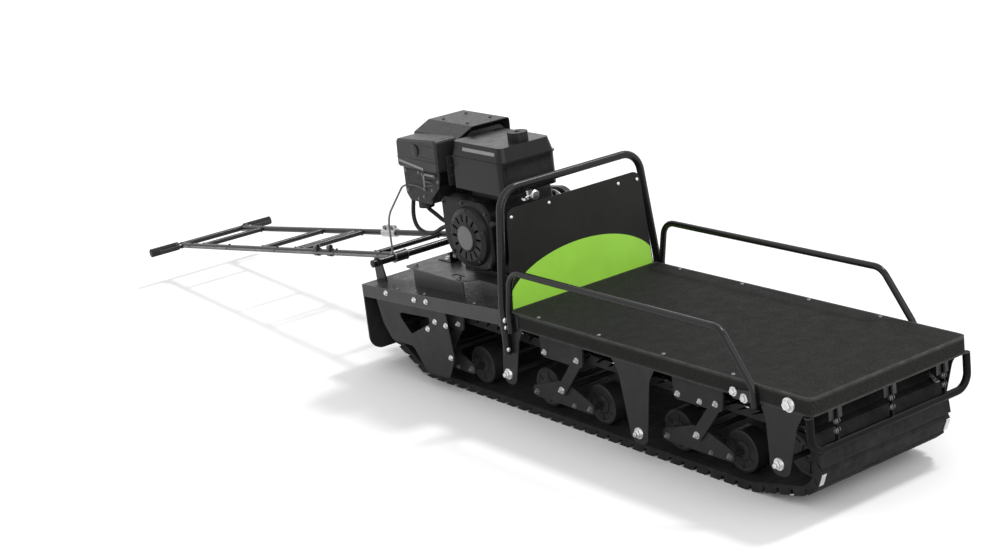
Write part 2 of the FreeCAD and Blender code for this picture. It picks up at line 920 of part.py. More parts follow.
def make_suspension():
    """Brackets under the frame, swing arms on them, and roller carriers that rock on the arms."""
    roller_height = d.roller_radius + d.lug_height + d.belt_thickness
    brackets, arms, carriers, rollers = [], [], [], []
    for pivot in module_centres():
        top = (pivot + 96, size(243))
        swing = [rod("pivot_shaft", (pivot, -half_track - 20, d.pivot_height), (half_track + 20) * 2,
                     d.axle_diameter)]
        for side in (-1, 1):
            brackets.append(
                prism(
                    "suspension_bracket",
                    "XZ_Plane",
                    carrier_lane(side, 20, 6),
                    size(6),
                    [
                        (pivot - 78, bar_edge(pivot - 78)),
                        (pivot - 74, size(222), size(12)),
                        (top[0] + 24, size(222), size(16)),
                        (top[0] + 36, bar_edge(top[0] + 36)),
                    ],
                )
            )
            swing.append(link("swing_arm", carrier_lane(side, 14, 6), size(6),
                              (pivot, d.pivot_height), top, 18))
            carriers.append(
                prism(
                    "roller_carrier",
                    "XZ_Plane",
                    carrier_lane(side, 6, 6),
                    size(6),
                    [
                        (pivot - d.roller_back - 18, roller_height - 16, size(14)),
                        (pivot + d.roller_front + 18, roller_height - 16, size(14)),
                        (pivot + d.roller_front + 18, roller_height + 16, size(14)),
                        (pivot + 22, d.pivot_height + 22, size(16)),
                        (pivot - 22, d.pivot_height + 22, size(16)),
                        (pivot - d.roller_back - 18, roller_height + 16, size(14)),
                    ],
                    [(pivot, d.pivot_height, d.axle_diameter / 2)],
                )
            )
        arms.append(fuse("swing_arm_pair", swing))
        for ahead in (pivot - d.roller_back, pivot + d.roller_front):
            pieces = [rod("roller_axle", (ahead, -half_track - 6, roller_height),
                          (half_track + 6) * 2, d.axle_diameter)]
            for side in (-1, 1):
                lane = (half_track - d.roller_inset) * side
                pieces.append(
                    rod("roller", (ahead, lane - d.roller_width / 2, roller_height),
                        d.roller_width, (d.roller_radius - 0.5) * 2)
                )
            rollers.append(fuse("roller_set", pieces))
    node("suspension_brackets", group("suspension_brackets", brackets))
    node("swing_arms", group("swing_arms", arms))
    node("roller_carriers", group("roller_carriers", carriers))
    node("road_rollers", group("road_rollers", rollers))
    node("tie_rods", group("tie_rods", [
        rod("rear_tie_rod", (-d.hanger_rear, -skirt_in, d.idler_height), skirt_in * 2,
            d.axle_diameter),
        rod("middle_tie_rod", (d.hanger_middle, -skirt_in, d.tie_height), skirt_in * 2,
            d.axle_diameter),
    ]))


# ---------------------------------------------------------------- engine


def make_engine_mount():
    """A plate above the engine deck on low flanges, cut away on the left for the driven pulley."""
    back, front = size(-633), size(-120)
    right, left, step = size(-250), size(250), size(95)
    cut_front, pulley_front = size(-318), size(-400)
    plate = prism(
        "mount_plate",
        "XY_Plane",
        engine_base - 4,
        size(4),
        [
            (back, right, size(12)),
            (cut_front, right, size(22)),
            (cut_front + 38, right + 45, size(10)),
            (front, right + 45),
            (front, left),
            (pulley_front, left),
            (pulley_front, step),
            (back, step),
        ],
        [[(size(-405), size(-226), size(8)), (size(-345), size(-226), size(8)),
          (size(-345), size(-206), size(8)), (size(-405), size(-206), size(8))]],
    )
    parts = [plate]
    for lane, start, end in ((right + 22, back + 14, cut_front - 20),
                             (right + 45, cut_front + 50, front),
                             (left - 4, pulley_front, front)):
        parts.append(
            prism(
                "mount_flange",
                "XZ_Plane",
                lane,
                size(4),
                [
                    (start, rear_under(-start) + d.sheet_steel),
                    (end, rear_under(-end) + d.sheet_steel),
                    (end, engine_base - 4),
                    (start, engine_base - 4),
                ],
            )
        )
    node("engine_mount", fuse("engine_mount", parts))


def above_mount(rise):
    """A height on the engine, counted from the top of its mounting plate."""
    return engine_base + rise


def on_cylinder(reach, rise):
    """A point of the cylinder's own axes: how far out along it, and how far above it."""
    slope = math.radians(float(d.cylinder_slope))
    x = -d.crank_back - size(reach) * math.cos(slope) + size(rise) * math.sin(slope)
    z = crank_height + size(reach) * math.sin(slope) + size(rise) * math.cos(slope)
    return x, z


def tilt(thing):
    """Lean a piece modelled along +X from the crank back along the sloping cylinder."""
    lean = Rotation(Vector(0, 1, 0), float(d.cylinder_slope)) * Rotation(Vector(0, 0, 1), 180)
    thing.Placement = Placement(Vector(), lean)
    move(thing, (-d.crank_back, -d.cylinder_middle, crank_height))


def add_fins(body, start, half_wide, half_high, count):
    """A row of thin square fins round a barrel along X."""
    outline = new_sketch(body, "YZ_Plane", start)
    draw(outline, octagon(half_wide, half_high, size(14)))
    fin = body.newObject("PartDesign::Pad", "Fin")
    fin.Profile = (outline, [""])
    bind(fin, "Length", d.fin_sheet)
    outline.Visibility = False
    doc.recompute()
    row = body.newObject("PartDesign::LinearPattern", "FinRow")
    row.Originals = [fin]
    row.Direction = ([o for o in body.Origin.OriginFeatures if o.Role == "X_Axis"][0], [""])
    bind(row, "Length", d.fin_pitch * (count - 1))
    row.Occurrences = count
    body.Tip = row


def make_crankcase():
    """The crankcase and its foot, cut square to the sloping cylinder."""
    cx = -d.crank_back
    slope = math.radians(float(d.cylinder_slope))
    top_rise = (tank_base - on_cylinder(d.cylinder_start, 0)[1]) / math.cos(slope)
    case = prism(
        "crankcase",
        "XZ_Plane",
        size(-128),
        size(196),
        [
            (cx - 105, engine_base),
            (cx + 112, engine_base),
            (cx + 112, tank_base, size(34)),
            on_cylinder(d.cylinder_start, top_rise),
            on_cylinder(d.cylinder_start, -75),
            (cx - 105, crank_height - 66),
        ],
    )
    chamfered(case, "Y", 68, size(8))
    foot = box("engine_foot", (cx - 125, size(-142), engine_base),
               (cx + 128, size(84), engine_base + 12))
    node("engine_block", fuse("engine_block", [case, foot]))


def make_fan_side():
    """The moulded fan housing and the recoil starter's cover with its ring of slots."""
    cx = -d.crank_back
    cz = crank_height
    base, face, depth = engine_base + 26, size(-190), size(62)
    housing = prism(
        "fan_housing",
        "XZ_Plane",
        face,
        depth,
        [
            (cx - d.fan_reach, base, size(112)),
            (cx + 108, base, size(60)),
            (cx + 108, cz + 114, size(50)),
            (cx - d.fan_reach, cz + 114, size(20)),
        ],
    )
    node("fan_housing", chamfered(housing, "Y", face, size(7)))
    boss = size(43)
    cover = turned(
        "recoil_starter",
        [
            (size(0), -d.recoil_face),
            (boss, -d.recoil_face),
            (boss + 5, -d.recoil_face + 6),
            (d.recoil_radius - 20, -d.recoil_face + 6),
            (d.recoil_radius - 4, -d.recoil_face + 14),
            (d.recoil_radius, face),
            (size(0), face),
        ],
        (cx, size(0), cz),
    )
    slot = new_sketch(cover, "XZ_Plane", -d.recoil_face, "Slot")
    inner, outer, half = boss + 8, d.recoil_radius - 22, size(4)
    draw(slot, [(inner, -half), (outer, -half), (outer, half), (inner, half)])
    doc.recompute()
    pocket = cover.newObject("PartDesign::Pocket", "SlotCut")
    pocket.Profile = (slot, [""])
    bind(pocket, "Length", d.recoil_face + face - 8)
    slot.Visibility = False
    doc.recompute()
    ring = cover.newObject("PartDesign::PolarPattern", "SlotRing")
    ring.Originals = [pocket]
    ring.Axis = (slot, ["N_Axis"])
    ring.Angle = 360
    ring.Occurrences = 14
    cover.Tip = ring
    node("recoil_starter", cover)


def make_cylinder():
    """The sloping finned cylinder, its finned head and the pressed rocker cover."""
    barrel = prism("cylinder", "YZ_Plane", d.cylinder_start, d.cylinder_length,
                   octagon(size(52), size(48), size(12)))
    add_fins(barrel, d.cylinder_start + 4, size(75), size(70), 11)
    tilt(barrel)
    node("cylinder", barrel)
    head_start = d.cylinder_start + d.cylinder_length
    cover_start = head_start + d.head_length
    head = prism("cylinder_head", "YZ_Plane", head_start, d.head_length,
                 octagon(size(56), size(52), size(12)))
    add_fins(head, head_start + 4, size(62), size(62), 3)
    add_pad(head, "YZ_Plane", cover_start, size(4), octagon(size(52), size(48), size(12)))
    add_loft(head, "YZ_Plane", cover_start + 4, octagon(size(46), size(42), size(14)),
             cover_start + d.cover_length, octagon(size(36), size(32), size(12)))
    tilt(head)
    node("cylinder_head", head)


def make_fuel_tank():
    """Two pressed pans welded along a seam flange, with a lobed cap."""
    back, front, right, left = size(-408), size(-133), size(-172), size(46)
    pan = rounded_box(back, front, right, left, size(24))
    tank = prism("fuel_tank", "XY_Plane", tank_base, tank_seam - tank_base, pan)
    lip, draft = size(5), size(11)
    add_pad(tank, "XY_Plane", tank_seam, size(4),
            rounded_box(back - lip, front + lip, right - lip, left + lip, size(28)))
    add_loft(tank, "XY_Plane", tank_seam + 4, pan, tank_top,
             rounded_box(back + draft, front - draft, right + draft, left - draft, size(18)))
    node("fuel_tank", tank)
    node("fuel_cap", toothed("fuel_cap", "XY_Plane", tank_top, d.cap_height,
                             (size(-200), size(-46)), size(30), size(32.5), 16))


def make_intake():
    """The air cleaner, and the carburettor below it with its bowl, elbow and control plate."""
    bottom, near = above_mount(328), size(-208)
    cleaner = prism(
        "air_cleaner",
        "XZ_Plane",
        near,
        size(80),
        [
            (size(-662), bottom, size(10)),
            (size(-432), bottom, size(10)),
            (size(-430), above_mount(436), size(12)),
            (size(-656), above_mount(422), size(12)),
        ],
    )
    node("air_cleaner", chamfered(cleaner, "Y", near, size(6)))
    throttle_body = prism(
        "throttle_body",
        "XZ_Plane",
        size(-186),
        size(66),
        [
            (size(-662), above_mount(234), size(14)),
            (size(-640), above_mount(210), size(10)),
            (size(-520), above_mount(210), size(10)),
            (size(-505), above_mount(234), size(10)),
            (size(-505), bottom),
            (size(-662), bottom),
        ],
    )
    bowl = rod("float_bowl", (size(-606), size(-150), above_mount(184)), size(28), size(52), "Z")
    head = d.cylinder_start + d.cylinder_length
    elbow = prism(
        "inlet_elbow",
        "XZ_Plane",
        size(-165),
        size(165) - (d.cylinder_middle + 62),
        [
            on_cylinder(head + 3, -12),
            on_cylinder(head + d.head_length - 3, -12),
            on_cylinder(head + d.head_length - 3, 48),
            on_cylinder(head + 3, 48),
        ],
    )
    control = prism(
        "control_plate",
        "XZ_Plane",
        size(-190),
        size(4),
        [
            (size(-560), above_mount(222), size(8)),
            (size(-520), above_mount(222), size(8)),
            (size(-462), above_mount(272), size(12)),
            (size(-448), bottom),
            (size(-560), bottom),
        ],
    )
    node("carburettor", fuse("carburettor", [throttle_body, bowl, elbow, control]))
    fan_back = -d.crank_back - d.fan_reach
    lines = [
        tube("fuel_hose", "XZ_Plane", size(-165),
             [(size(-654), above_mount(214)), (size(-654), above_mount(110), size(44)),
              (size(-550), above_mount(110), size(50)), (size(-505), above_mount(146), size(26)),
              (fan_back, above_mount(146))], size(9)),
        tube("breather_hose", "XZ_Plane", size(-150),
             [(size(-606), above_mount(184)), (size(-606), above_mount(167), size(14)),
              (size(-500), above_mount(142), size(60)), (fan_back, above_mount(142))], size(9)),
    ]
    node("fuel_line", group("fuel_line", lines))


def make_exhaust():
    """A flat muffler on a stub from the head, under a bent sheet guard on four spacers."""
    slope = float(d.cylinder_slope)
    mouth = on_cylinder(d.cylinder_start + d.cylinder_length + d.head_length / 2, 62)
    stub = rod("exhaust_stub", (mouth[0], size(0), mouth[1]), size(66), size(30), "Z")
    stub.Placement = Placement(stub.Placement.Base, Rotation(Vector(0, 1, 0), slope))
    drum_top = above_mount(434)
    drum = prism(
        "muffler_drum",
        "YZ_Plane",
        size(-650),
        size(215),
        [
            (size(-108), above_mount(340), size(20)),
            (size(74), above_mount(340), size(20)),
            (size(74), drum_top, size(22)),
            (size(-60), drum_top, size(12)),
            (size(-108), above_mount(406), size(12)),
        ],
    )
    node("muffler", fuse("muffler", [stub, drum]))
    sheet_top, lip = above_mount(454), above_mount(394)
    near, far = size(-126), size(88)
    wall = d.sheet_steel
    guard = prism(
        "guard_sheet",
        "YZ_Plane",
        size(-664),
        size(244),
        [
            (near, lip),
            (near + wall, lip),
            (near + wall, above_mount(423), size(5)),
            (size(-61), sheet_top - wall, size(5)),
            (far - wall, sheet_top - wall, size(7)),
            (far - wall, lip),
            (far, lip),
            (far, sheet_top, size(10)),
            (size(-62), sheet_top, size(8)),
            (near, above_mount(425), size(8)),
        ],
    )
    spacers = [rod("guard_spacer", (size(x), size(y), drum_top), sheet_top - drum_top - 1,
                   size(12), "Z")
               for x in (-610, -475) for y in (-40, 52)]
    node("exhaust_guard", fuse("exhaust_guard", [guard] + spacers))


def make_drive():
    """The belt drive on the engine's left and the chain case that takes it down to the axle."""
    cx = -d.crank_back
    cz = crank_height
    lane, groove_depth = d.belt_lane, size(4)
    reach = d.crank_back + d.pulley_spacing
    back = -reach
    height = rear_under(reach) + d.sheet_steel + d.driven_pulley_radius + 12
    small, large = d.drive_pulley_radius, d.driven_pulley_radius
    node("drive_pulley", turned(
        "drive_pulley",
        [
            (size(0), size(68)),
            (size(14), size(68)),
            (size(14), lane - 28),
            (small, lane - 24),
            (small, lane - 20),
            (d.drive_groove, lane - 11),
            (d.drive_groove, lane + 11),
            (small, lane + 20),
            (small, lane + 24),
            (size(30), lane + 34),
            (size(0), lane + 34),
        ],
        (cx, size(0), cz),
    ))
    node("driven_pulley", turned(
        "driven_pulley",
        [
            (size(0), lane - 40),
            (size(10), lane - 40),
            (size(24), lane - 26),
            (large, lane - 22),
            (large, lane - 22 + groove_depth),
            (d.driven_groove, lane - 11),
            (d.driven_groove, lane + 11),
            (large, lane + 22 - groove_depth),
            (large, lane + 22),
            (size(10), lane + 30),
            (size(10), half_width + 2),
            (size(0), half_width + 2),
        ],
        (back, size(0), height),
    ))
    stops = [(float(back), float(height), float(d.driven_groove) + 0.5),
             (float(cx), float(cz), float(d.drive_groove) + 0.5)]
    node("drive_belt", loop_solid("drive_belt", stops, 0, 8, float(lane) - 10, 20))
    make_jackshaft_bearings(back, height)
    make_belt_guard(back, height)
    case = prism(
        "chain_case",
        "XZ_Plane",
        half_width + 2,
        size(22),
        [
            (-d.sprocket_back - 46, d.sprocket_height - 44, size(42)),
            (-d.sprocket_back + 46, d.sprocket_height - 44, size(42)),
            (back + 46, height + 44, size(42)),
            (back - 46, height + 44, size(42)),
        ],
    )
    node("chain_case", chamfered(case, "Y", half_width + 24, size(5)))


def make_jackshaft_bearings(back, height):
    """Two standing plates that carry the driven pulley's shaft."""
    posts = []
    for start in (d.belt_guard_lane + d.sheet_steel, size(284)):
        posts.append(
            prism(
                "bearing_plate",
                "XZ_Plane",
                start,
                size(8),
                [
                    (back - 60, rear_under(60 - back) + d.sheet_steel),
                    (back + 60, rear_under(-60 - back) + d.sheet_steel),
                    (back + 30, height + 30, size(28)),
                    (back - 30, height + 30, size(28)),
                ],
                [(back, height, size(10))],
            )
        )
    node("jackshaft_bearings", group("jackshaft_bearings", posts))


def make_belt_guard(back, height):
    """A pressed tray over the belt: a flat face with a rim turned in towards the engine."""
    cx, cz = -d.crank_back, crank_height
    depth = size(22)
    tray = prism(
        "guard_blank",
        "XZ_Plane",
        d.belt_guard_lane + d.sheet_steel - depth,
        depth,
        [
            (back - 116, height - 100, size(90)),
            (cx + 66, cz - 90, size(70)),
            (cx + 88, cz + 88, size(70)),
            (back - 116, height + 116, size(90)),
        ],
    )
    inner = d.belt_guard_lane + d.sheet_steel - depth
    doc.recompute()
    shell = doc.addObject("Part::Thickness", "guard_tray")
    shell.Faces = (tray, [face_names(tray.Shape, "Y", inner)[0]])
    bind(shell, "Value", -d.sheet_steel)
    shell.Join = 2
    bore = rod("shaft_clearance", (back, inner, height), depth + 1, size(32))
    node("belt_guard", cut("belt_guard", shell, bore))


def make_engine():
    make_crankcase()
    make_fan_side()
    make_cylinder()
    make_fuel_tank()
    make_intake()
    make_exhaust()


# ---------------------------------------------------------------- steering frame


def make_hinge():
    bar = rod("hinge_tube", (-d.hinge_back, size(-255), hinge_height), size(510), d.hinge_bar)
    ears = []
    for lane in (-240, 234):
        ears.append(
            prism(
                "hinge_ear",
                "XZ_Plane",
                size(lane),
                size(6),
                [
                    (-d.rear_length + 4, rear_under(d.rear_length - 4) + d.sheet_steel),
                    (-d.rear_length + 64, rear_under(d.rear_length - 64) + d.sheet_steel),
                    (-d.hinge_back + 20, hinge_height + 20, size(18)),
                    (-d.hinge_back - 20, hinge_height + 20, size(18)),
                ],
            )
        )
    node("hinge_bar", fuse("hinge_bar", [bar] + ears))


def make_steering_frame():
    lane = d.frame_gauge / 2
    pitch = 7.6
    turn = Placement(
        Vector(-float(d.hinge_back), 0, float(hinge_height)), Rotation(Vector(0, 1, 0), -pitch)
    )
    bore = rod("hinge_bore", (size(0), -lane - 60, size(0)), lane * 2 + 120,
               d.hinge_bar + d.hinge_play * 2)
    grip_bar = rod("grip_bar", (-d.frame_length, -lane - d.grip_reach, size(0)),
                   (lane + d.grip_reach) * 2,
                   d.frame_tube)
    rails = []
    for side in (-1, 1):
        rail = rod("frame_rail", (-d.frame_length, lane * side, size(0)),
                   d.frame_length - 12, d.frame_tube, "X")
        sleeve = rod("hinge_sleeve", (size(0), lane * side - d.rail_sleeve / 2, size(0)),
                     d.rail_sleeve, d.sleeve_diameter)
        rails.append(fuse("sleeved_rail", [rail, sleeve]))
    both = group("sleeved_rails", rails)
    frame = cut("steering_frame", cut("bored_rails", both, bore), grip_bar)
    frame.Placement = turn
    node("steering_frame", frame)
    rungs = []
    for back in RUNGS:
        rung = rod("frame_rung", (size(-back), -lane, size(0)), lane * 2, d.frame_tube * 0.9)
        rungs.append(cut("saddled_rung", rung, both))
    rungs.append(grip_bar)
    ladder = group("frame_rungs", rungs)
    ladder.Placement = turn
    node("frame_rungs", ladder)
    grips = []
    for side in (-1, 1):
        start = lane + 130 - d.grip_length + 6
        low = start if side > 0 else -start - d.grip_length
        outer = rod("grip_outer", (-d.frame_length, low, size(0)), d.grip_length,
                    d.grip_diameter)
        core = rod("grip_core", (-d.frame_length, -lane - d.grip_reach, size(0)),
                   (lane + d.grip_reach) * 2,
                   d.frame_tube)
        grips.append(cut("grip", outer, core))
    pair = group("hand_grips", grips)
    pair.Placement = turn
    node("hand_grips", pair)
    levers = []
    for side in (-1, 1):
        near, far = sorted((side * 158, side * 171))
        end = sorted((side * 158, side * 262))
        ring = rod("lever_ring", (-d.frame_length, size(near), size(0)), size(13), size(34))
        arm = box("lever_arm", (-d.frame_length + 12, size(near), size(-4)),
                  (-d.frame_length + 52, size(far), size(4)))
        blade = box("lever_blade", (-d.frame_length + 42, size(end[0]), size(-6)),
                    (-d.frame_length + 52, size(end[1]), size(6)))
        core = rod("lever_core", (-d.frame_length, -lane - d.grip_reach, size(0)),
                   (lane + d.grip_reach) * 2,
                   d.frame_tube)
        levers.append(cut("control_lever", fuse("lever_solid", [ring, arm, blade]), core))
    pair = group("control_levers", levers)
    pair.Placement = turn
    node("control_levers", pair)
    run = rod("cable_run", (-d.frame_length + 60, -lane - (d.frame_tube + d.cable) / 2, size(0)),
              d.frame_length - 90, d.cable, "X")
    run = group("throttle_cable_rear", [run])
    run.Placement = turn
    node("throttle_cable_rear", run)
    node("throttle_cable", tube(
        "throttle_cable",
        "XZ_Plane",
        size(-172),
        [
            (-d.hinge_back, hinge_height + d.hinge_bar / 2),
            (-d.hinge_back, above_mount(122), size(100)),
            (size(-700), above_mount(252), size(60)),
            (size(-662), above_mount(252)),
        ],
        d.cable,
    ))


# ---------------------------------------------------------------- build, check and write


def set_origin():
    """Put the origin under the middle of the vehicle's footprint."""
    doc.recompute()
    whole = FreeCAD.BoundBox()
    for thing in NODES:
        whole.add(thing.Shape.BoundBox)
    shift = -(whole.XMin + whole.XMax) / 2
    return shift


def check():
    doc.recompute()
    for thing in doc.Objects:
        if "Invalid" in thing.State or "Error" in thing.State:
            raise RuntimeError(f"{thing.Name} ({thing.Label}) failed: {thing.State}")
    for thing in NODES:
        if thing.Shape.isNull() or not thing.Shape.isValid():
            raise RuntimeError(f"{thing.Label} has no valid shape")


def write():
    os.makedirs("parts", exist_ok=True)
    shift = set_origin()
    for thing in NODES:
        shape = thing.Shape.copy()
        shape.translate(Vector(shift, 0, 0))
        shape.exportStep(f"parts/{thing.Label}.step")
        bounds = shape.BoundBox
        print(
            f"{thing.Label:18s} solids {len(shape.Solids):3d}  volume {shape.Volume / 1e3:10.1f} cm3"
            f"  x {bounds.XMin:8.1f} {bounds.XMax:8.1f}  y {bounds.YMin:7.1f} {bounds.YMax:7.1f}"
            f"  z {bounds.ZMin:7.1f} {bounds.ZMax:7.1f}"
        )
    print("shift", shift)
    print("hitch_x", shift - float(d.hitch_back))
    print("hitch_z", float(hitch_height))


make_main_frame()
make_cargo_deck()
make_engine_deck()
make_bulkhead()
make_side_rails()
make_hangers()
make_rear_plates()
make_mudflap()
make_tow_hitch()
make_front_bumper()
make_track()
make_drive_shaft()
make_front_idler()
make_suspension()
make_engine_mount()
make_engine()
make_drive()
make_hinge()
make_steering_frame()
check()
write()
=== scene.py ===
import math

import bmesh
import bpy
from mathutils import Matrix, Vector


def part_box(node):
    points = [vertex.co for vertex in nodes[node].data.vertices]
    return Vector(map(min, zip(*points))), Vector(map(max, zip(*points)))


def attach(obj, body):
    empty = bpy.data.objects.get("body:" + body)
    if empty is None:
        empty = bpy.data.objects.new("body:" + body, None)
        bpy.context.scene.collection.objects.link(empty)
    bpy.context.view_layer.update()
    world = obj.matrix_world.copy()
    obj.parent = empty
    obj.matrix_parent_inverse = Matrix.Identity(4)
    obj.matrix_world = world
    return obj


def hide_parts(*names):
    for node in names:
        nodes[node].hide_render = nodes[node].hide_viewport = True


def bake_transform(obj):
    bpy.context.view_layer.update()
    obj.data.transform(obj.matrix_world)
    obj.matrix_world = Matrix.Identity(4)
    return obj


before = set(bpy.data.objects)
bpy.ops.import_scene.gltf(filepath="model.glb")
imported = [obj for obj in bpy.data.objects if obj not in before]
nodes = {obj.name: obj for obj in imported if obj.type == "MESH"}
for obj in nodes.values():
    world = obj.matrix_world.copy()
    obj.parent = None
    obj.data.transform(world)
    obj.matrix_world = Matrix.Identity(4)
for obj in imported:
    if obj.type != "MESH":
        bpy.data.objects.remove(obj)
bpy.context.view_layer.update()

# Metres, +X forwards, +Y to the left, +Z up. Lengths along the vehicle are counted from BACK, the
# back edge of the cargo platform. DECK is the platform's top, SKIRT the lower edge of its skirts
# and HALF its half width.
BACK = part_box("cargo_deck")[0].x
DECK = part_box("cargo_deck")[1].z
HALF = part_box("cargo_deck")[1].y
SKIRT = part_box("cargo_deck")[0].z

# The roller modules: their pivots, and the roller axles behind and ahead of each.
MODULES = [BACK + 0.185 + 0.600 * step for step in (-1, 0, 1)]
PIVOT_HEIGHT = 0.127
ROLLER_HEIGHT = 0.091
ROLLER_BACK = 0.136
ROLLER_AHEAD = 0.120
ROLLER_LANE = 0.190
ROLLER_RADIUS = 0.0625

# The track: its half width and how far its crests stand out from its inner face, the drive
# sprocket and the idler, and the bends where the bottom run lifts towards them.
TRACK_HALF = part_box("track")[1].y
TRACK_LENGTH = 4.214
CREST = 0.028
SPROCKET = (-0.690, 0.170)
IDLER = (1.137, 0.141)
WHEEL_RADIUS = 0.077
BENDS = (0.955, -0.560)
BEND_HEIGHT = 0.118
BEND_RADIUS = 0.090

# The engine's crank, and the slope of its cylinder.
CRANK = Vector((BACK - 0.312, -0.030, 0.514))
SLOPE = math.radians(25)

# The steering frame's hinge, the pitch that it rests at, its rungs' distances from the hinge and
# the rails' distance from the middle.
HINGE = Vector((BACK - 0.822, 0.0, 0.356))
PITCH = math.radians(7.6)
RUNGS = (0.175, 0.700, 0.745, 1.000, 1.500)
RAIL_LANE = 0.145

RIGHT = Vector((0, -1, 0))
LEFT = Vector((0, 1, 0))
UP = Vector((0, 0, 1))
AHEAD = Vector((1, 0, 0))


def at(x, y, z):
    """A point whose length is counted from the back edge of the platform."""
    return Vector((BACK + x, y, z))


# ---------------------------------------------------------------- materials


class Finish:
    """A material under construction: its shader, and the object coordinates its patterns read."""

    def __init__(self, name, colour, roughness, metallic=0.0, gloss=0.5):
        self.material = bpy.data.materials.new(name)
        self.material.use_nodes = True
        self.tree = self.material.node_tree
        self.shader = self.tree.nodes["Principled BSDF"]
        self.shader.inputs["Base Color"].default_value = (*colour, 1)
        self.shader.inputs["Roughness"].default_value = roughness
        self.shader.inputs["Metallic"].default_value = metallic
        self.shader.inputs["Specular IOR Level"].default_value = gloss
        self.place = self.tree.nodes.new("ShaderNodeTexCoord").outputs["Object"]
        self.height = None

    def node(self, kind, **settings):
        made = self.tree.nodes.new(kind)
        for key, value in settings.items():
            setattr(made, key, value)
        return made

    def link(self, a, b):
        self.tree.links.new(a, b)

    def noise(self, scale, detail=4.0, roughness=0.55):
        """Cloudy noise, scale in cells per metre."""
        made = self.node("ShaderNodeTexNoise")
        made.inputs["Scale"].default_value = scale
        made.inputs["Detail"].default_value = detail
        made.inputs["Roughness"].default_value = roughness
        self.link(self.place, made.inputs["Vector"])
        return made.outputs["Fac"]

    def cells(self, scale):
        """Small pits or domes, scale in cells per metre."""
        made = self.node("ShaderNodeTexVoronoi")
        made.inputs["Scale"].default_value = scale
        self.link(self.place, made.inputs["Vector"])
        return made.outputs["Distance"]

    def bands(self, axis, pitch):
        """Soft ridges across one axis, a pitch apart in metres."""
        made = self.node("ShaderNodeTexWave", bands_direction=axis)
        made.inputs["Scale"].default_value = 1 / (pitch * 20)
        scaled = self.node("ShaderNodeVectorMath", operation="SCALE")
        scaled.inputs["Scale"].default_value = math.tau
        self.link(self.place, scaled.inputs[0])
        self.link(scaled.outputs["Vector"], made.inputs["Vector"])
        return made.outputs["Fac"]

    def ramp(self, value, low, high, start=0.3, end=0.7):
        """Turns a value into another between low and high."""
        made = self.node("ShaderNodeMapRange")
        made.inputs["From Min"].default_value = start
        made.inputs["From Max"].default_value = end
        made.inputs["To Min"].default_value = low
        made.inputs["To Max"].default_value = high
        self.link(value, made.inputs["Value"])
        return made.outputs["Result"]

    def times(self, first, second):
        made = self.node("ShaderNodeMath", operation="MULTIPLY")
        self.link(first, made.inputs[0])
        self.link(second, made.inputs[1])
        return made.outputs[0]

    def mix(self, factor, first, second):
        made = self.node("ShaderNodeMix", data_type="RGBA")
        self.link(factor, made.inputs[0])
        for value, place in ((first, made.inputs[6]), (second, made.inputs[7])):
            if isinstance(value, tuple):
                place.default_value = (*value, 1)
            else:
                self.link(value, place)
        return made.outputs[2]

    def edges(self, radius):
        """1 on edges sharper than the radius, 0 on flats."""
        soft = self.node("ShaderNodeBevel", samples=4)
        soft.inputs["Radius"].default_value = radius
        sharp = self.node("ShaderNodeNewGeometry")
        dot = self.node("ShaderNodeVectorMath", operation="DOT_PRODUCT")
        self.link(soft.outputs["Normal"], dot.inputs[0])
        self.link(sharp.outputs["Normal"], dot.inputs[1])
        return self.ramp(dot.outputs["Value"], 1.0, 0.0, 0.86, 0.995)

    def colour(self, source):
        self.link(source, self.shader.inputs["Base Color"])

    def clouded(self, colour, scale, detail, dark, pale):
        """Clouds of a darker and a paler shade, each given as a share of the colour."""
        return self.mix(self.ramp(self.noise(scale, detail), 0, 1),
                        lighter(colour, dark), lighter(colour, pale))

    def wear_and_edge_highlight(self, under, pale, radius, scale, detail, least, most):
        """Colours the piece, its edges sharper than the radius paler in patches: wear and painted
        highlight.
        """
        patchy = self.ramp(self.noise(scale, detail), least, most, 0.35, 0.65)
        self.colour(self.mix(self.times(self.edges(radius), patchy), under, pale))

    def uneven(self, scale, detail, low, high):
        """Roughness that drifts between low and high."""
        drift = self.ramp(self.noise(scale, detail), low, high)
        self.link(drift, self.shader.inputs["Roughness"])

    def bump(self, value, depth, strength=1.0):
        """Adds relief of that depth in metres on top of what is there."""
        made = self.node("ShaderNodeBump")
        made.inputs["Distance"].default_value = depth
        made.inputs["Strength"].default_value = strength
        self.link(value, made.inputs["Height"])
        if self.height is not None:
            self.link(self.height, made.inputs["Normal"])
        self.height = made.outputs["Normal"]
        self.link(self.height, self.shader.inputs["Normal"])


def lighter(colour, factor):
    """A colour made lighter, or darker with a factor under 1."""
    return tuple(min(1.0, c * factor) for c in colour)


def grey(level):
    """A neutral colour."""
    return (level, level, level)


def powder_coat(name, colour, roughness=0.42, gloss=0.4, wear_and_highlight=0.5, rim=3.6, edge=0.0025):
    """Baked powder coat: fine orange peel, slow changes of tone, edges paler with wear and painted
    highlight.
    """
    made = Finish(name, colour, roughness, gloss=gloss)
    shade = made.clouded(colour, 7.0, 5.0, 0.82, 1.2)
    # Edge colour is rim times the colour: partly wear, partly a painted highlight along the edges.
    made.wear_and_edge_highlight(shade, lighter(colour, rim), edge, 60.0, 6.0, 0.1, wear_and_highlight)
    made.uneven(35.0, 3.0, roughness - 0.06, roughness + 0.08)
    made.bump(made.noise(700.0, 2.0), 0.00005, 0.6)
    return made.material


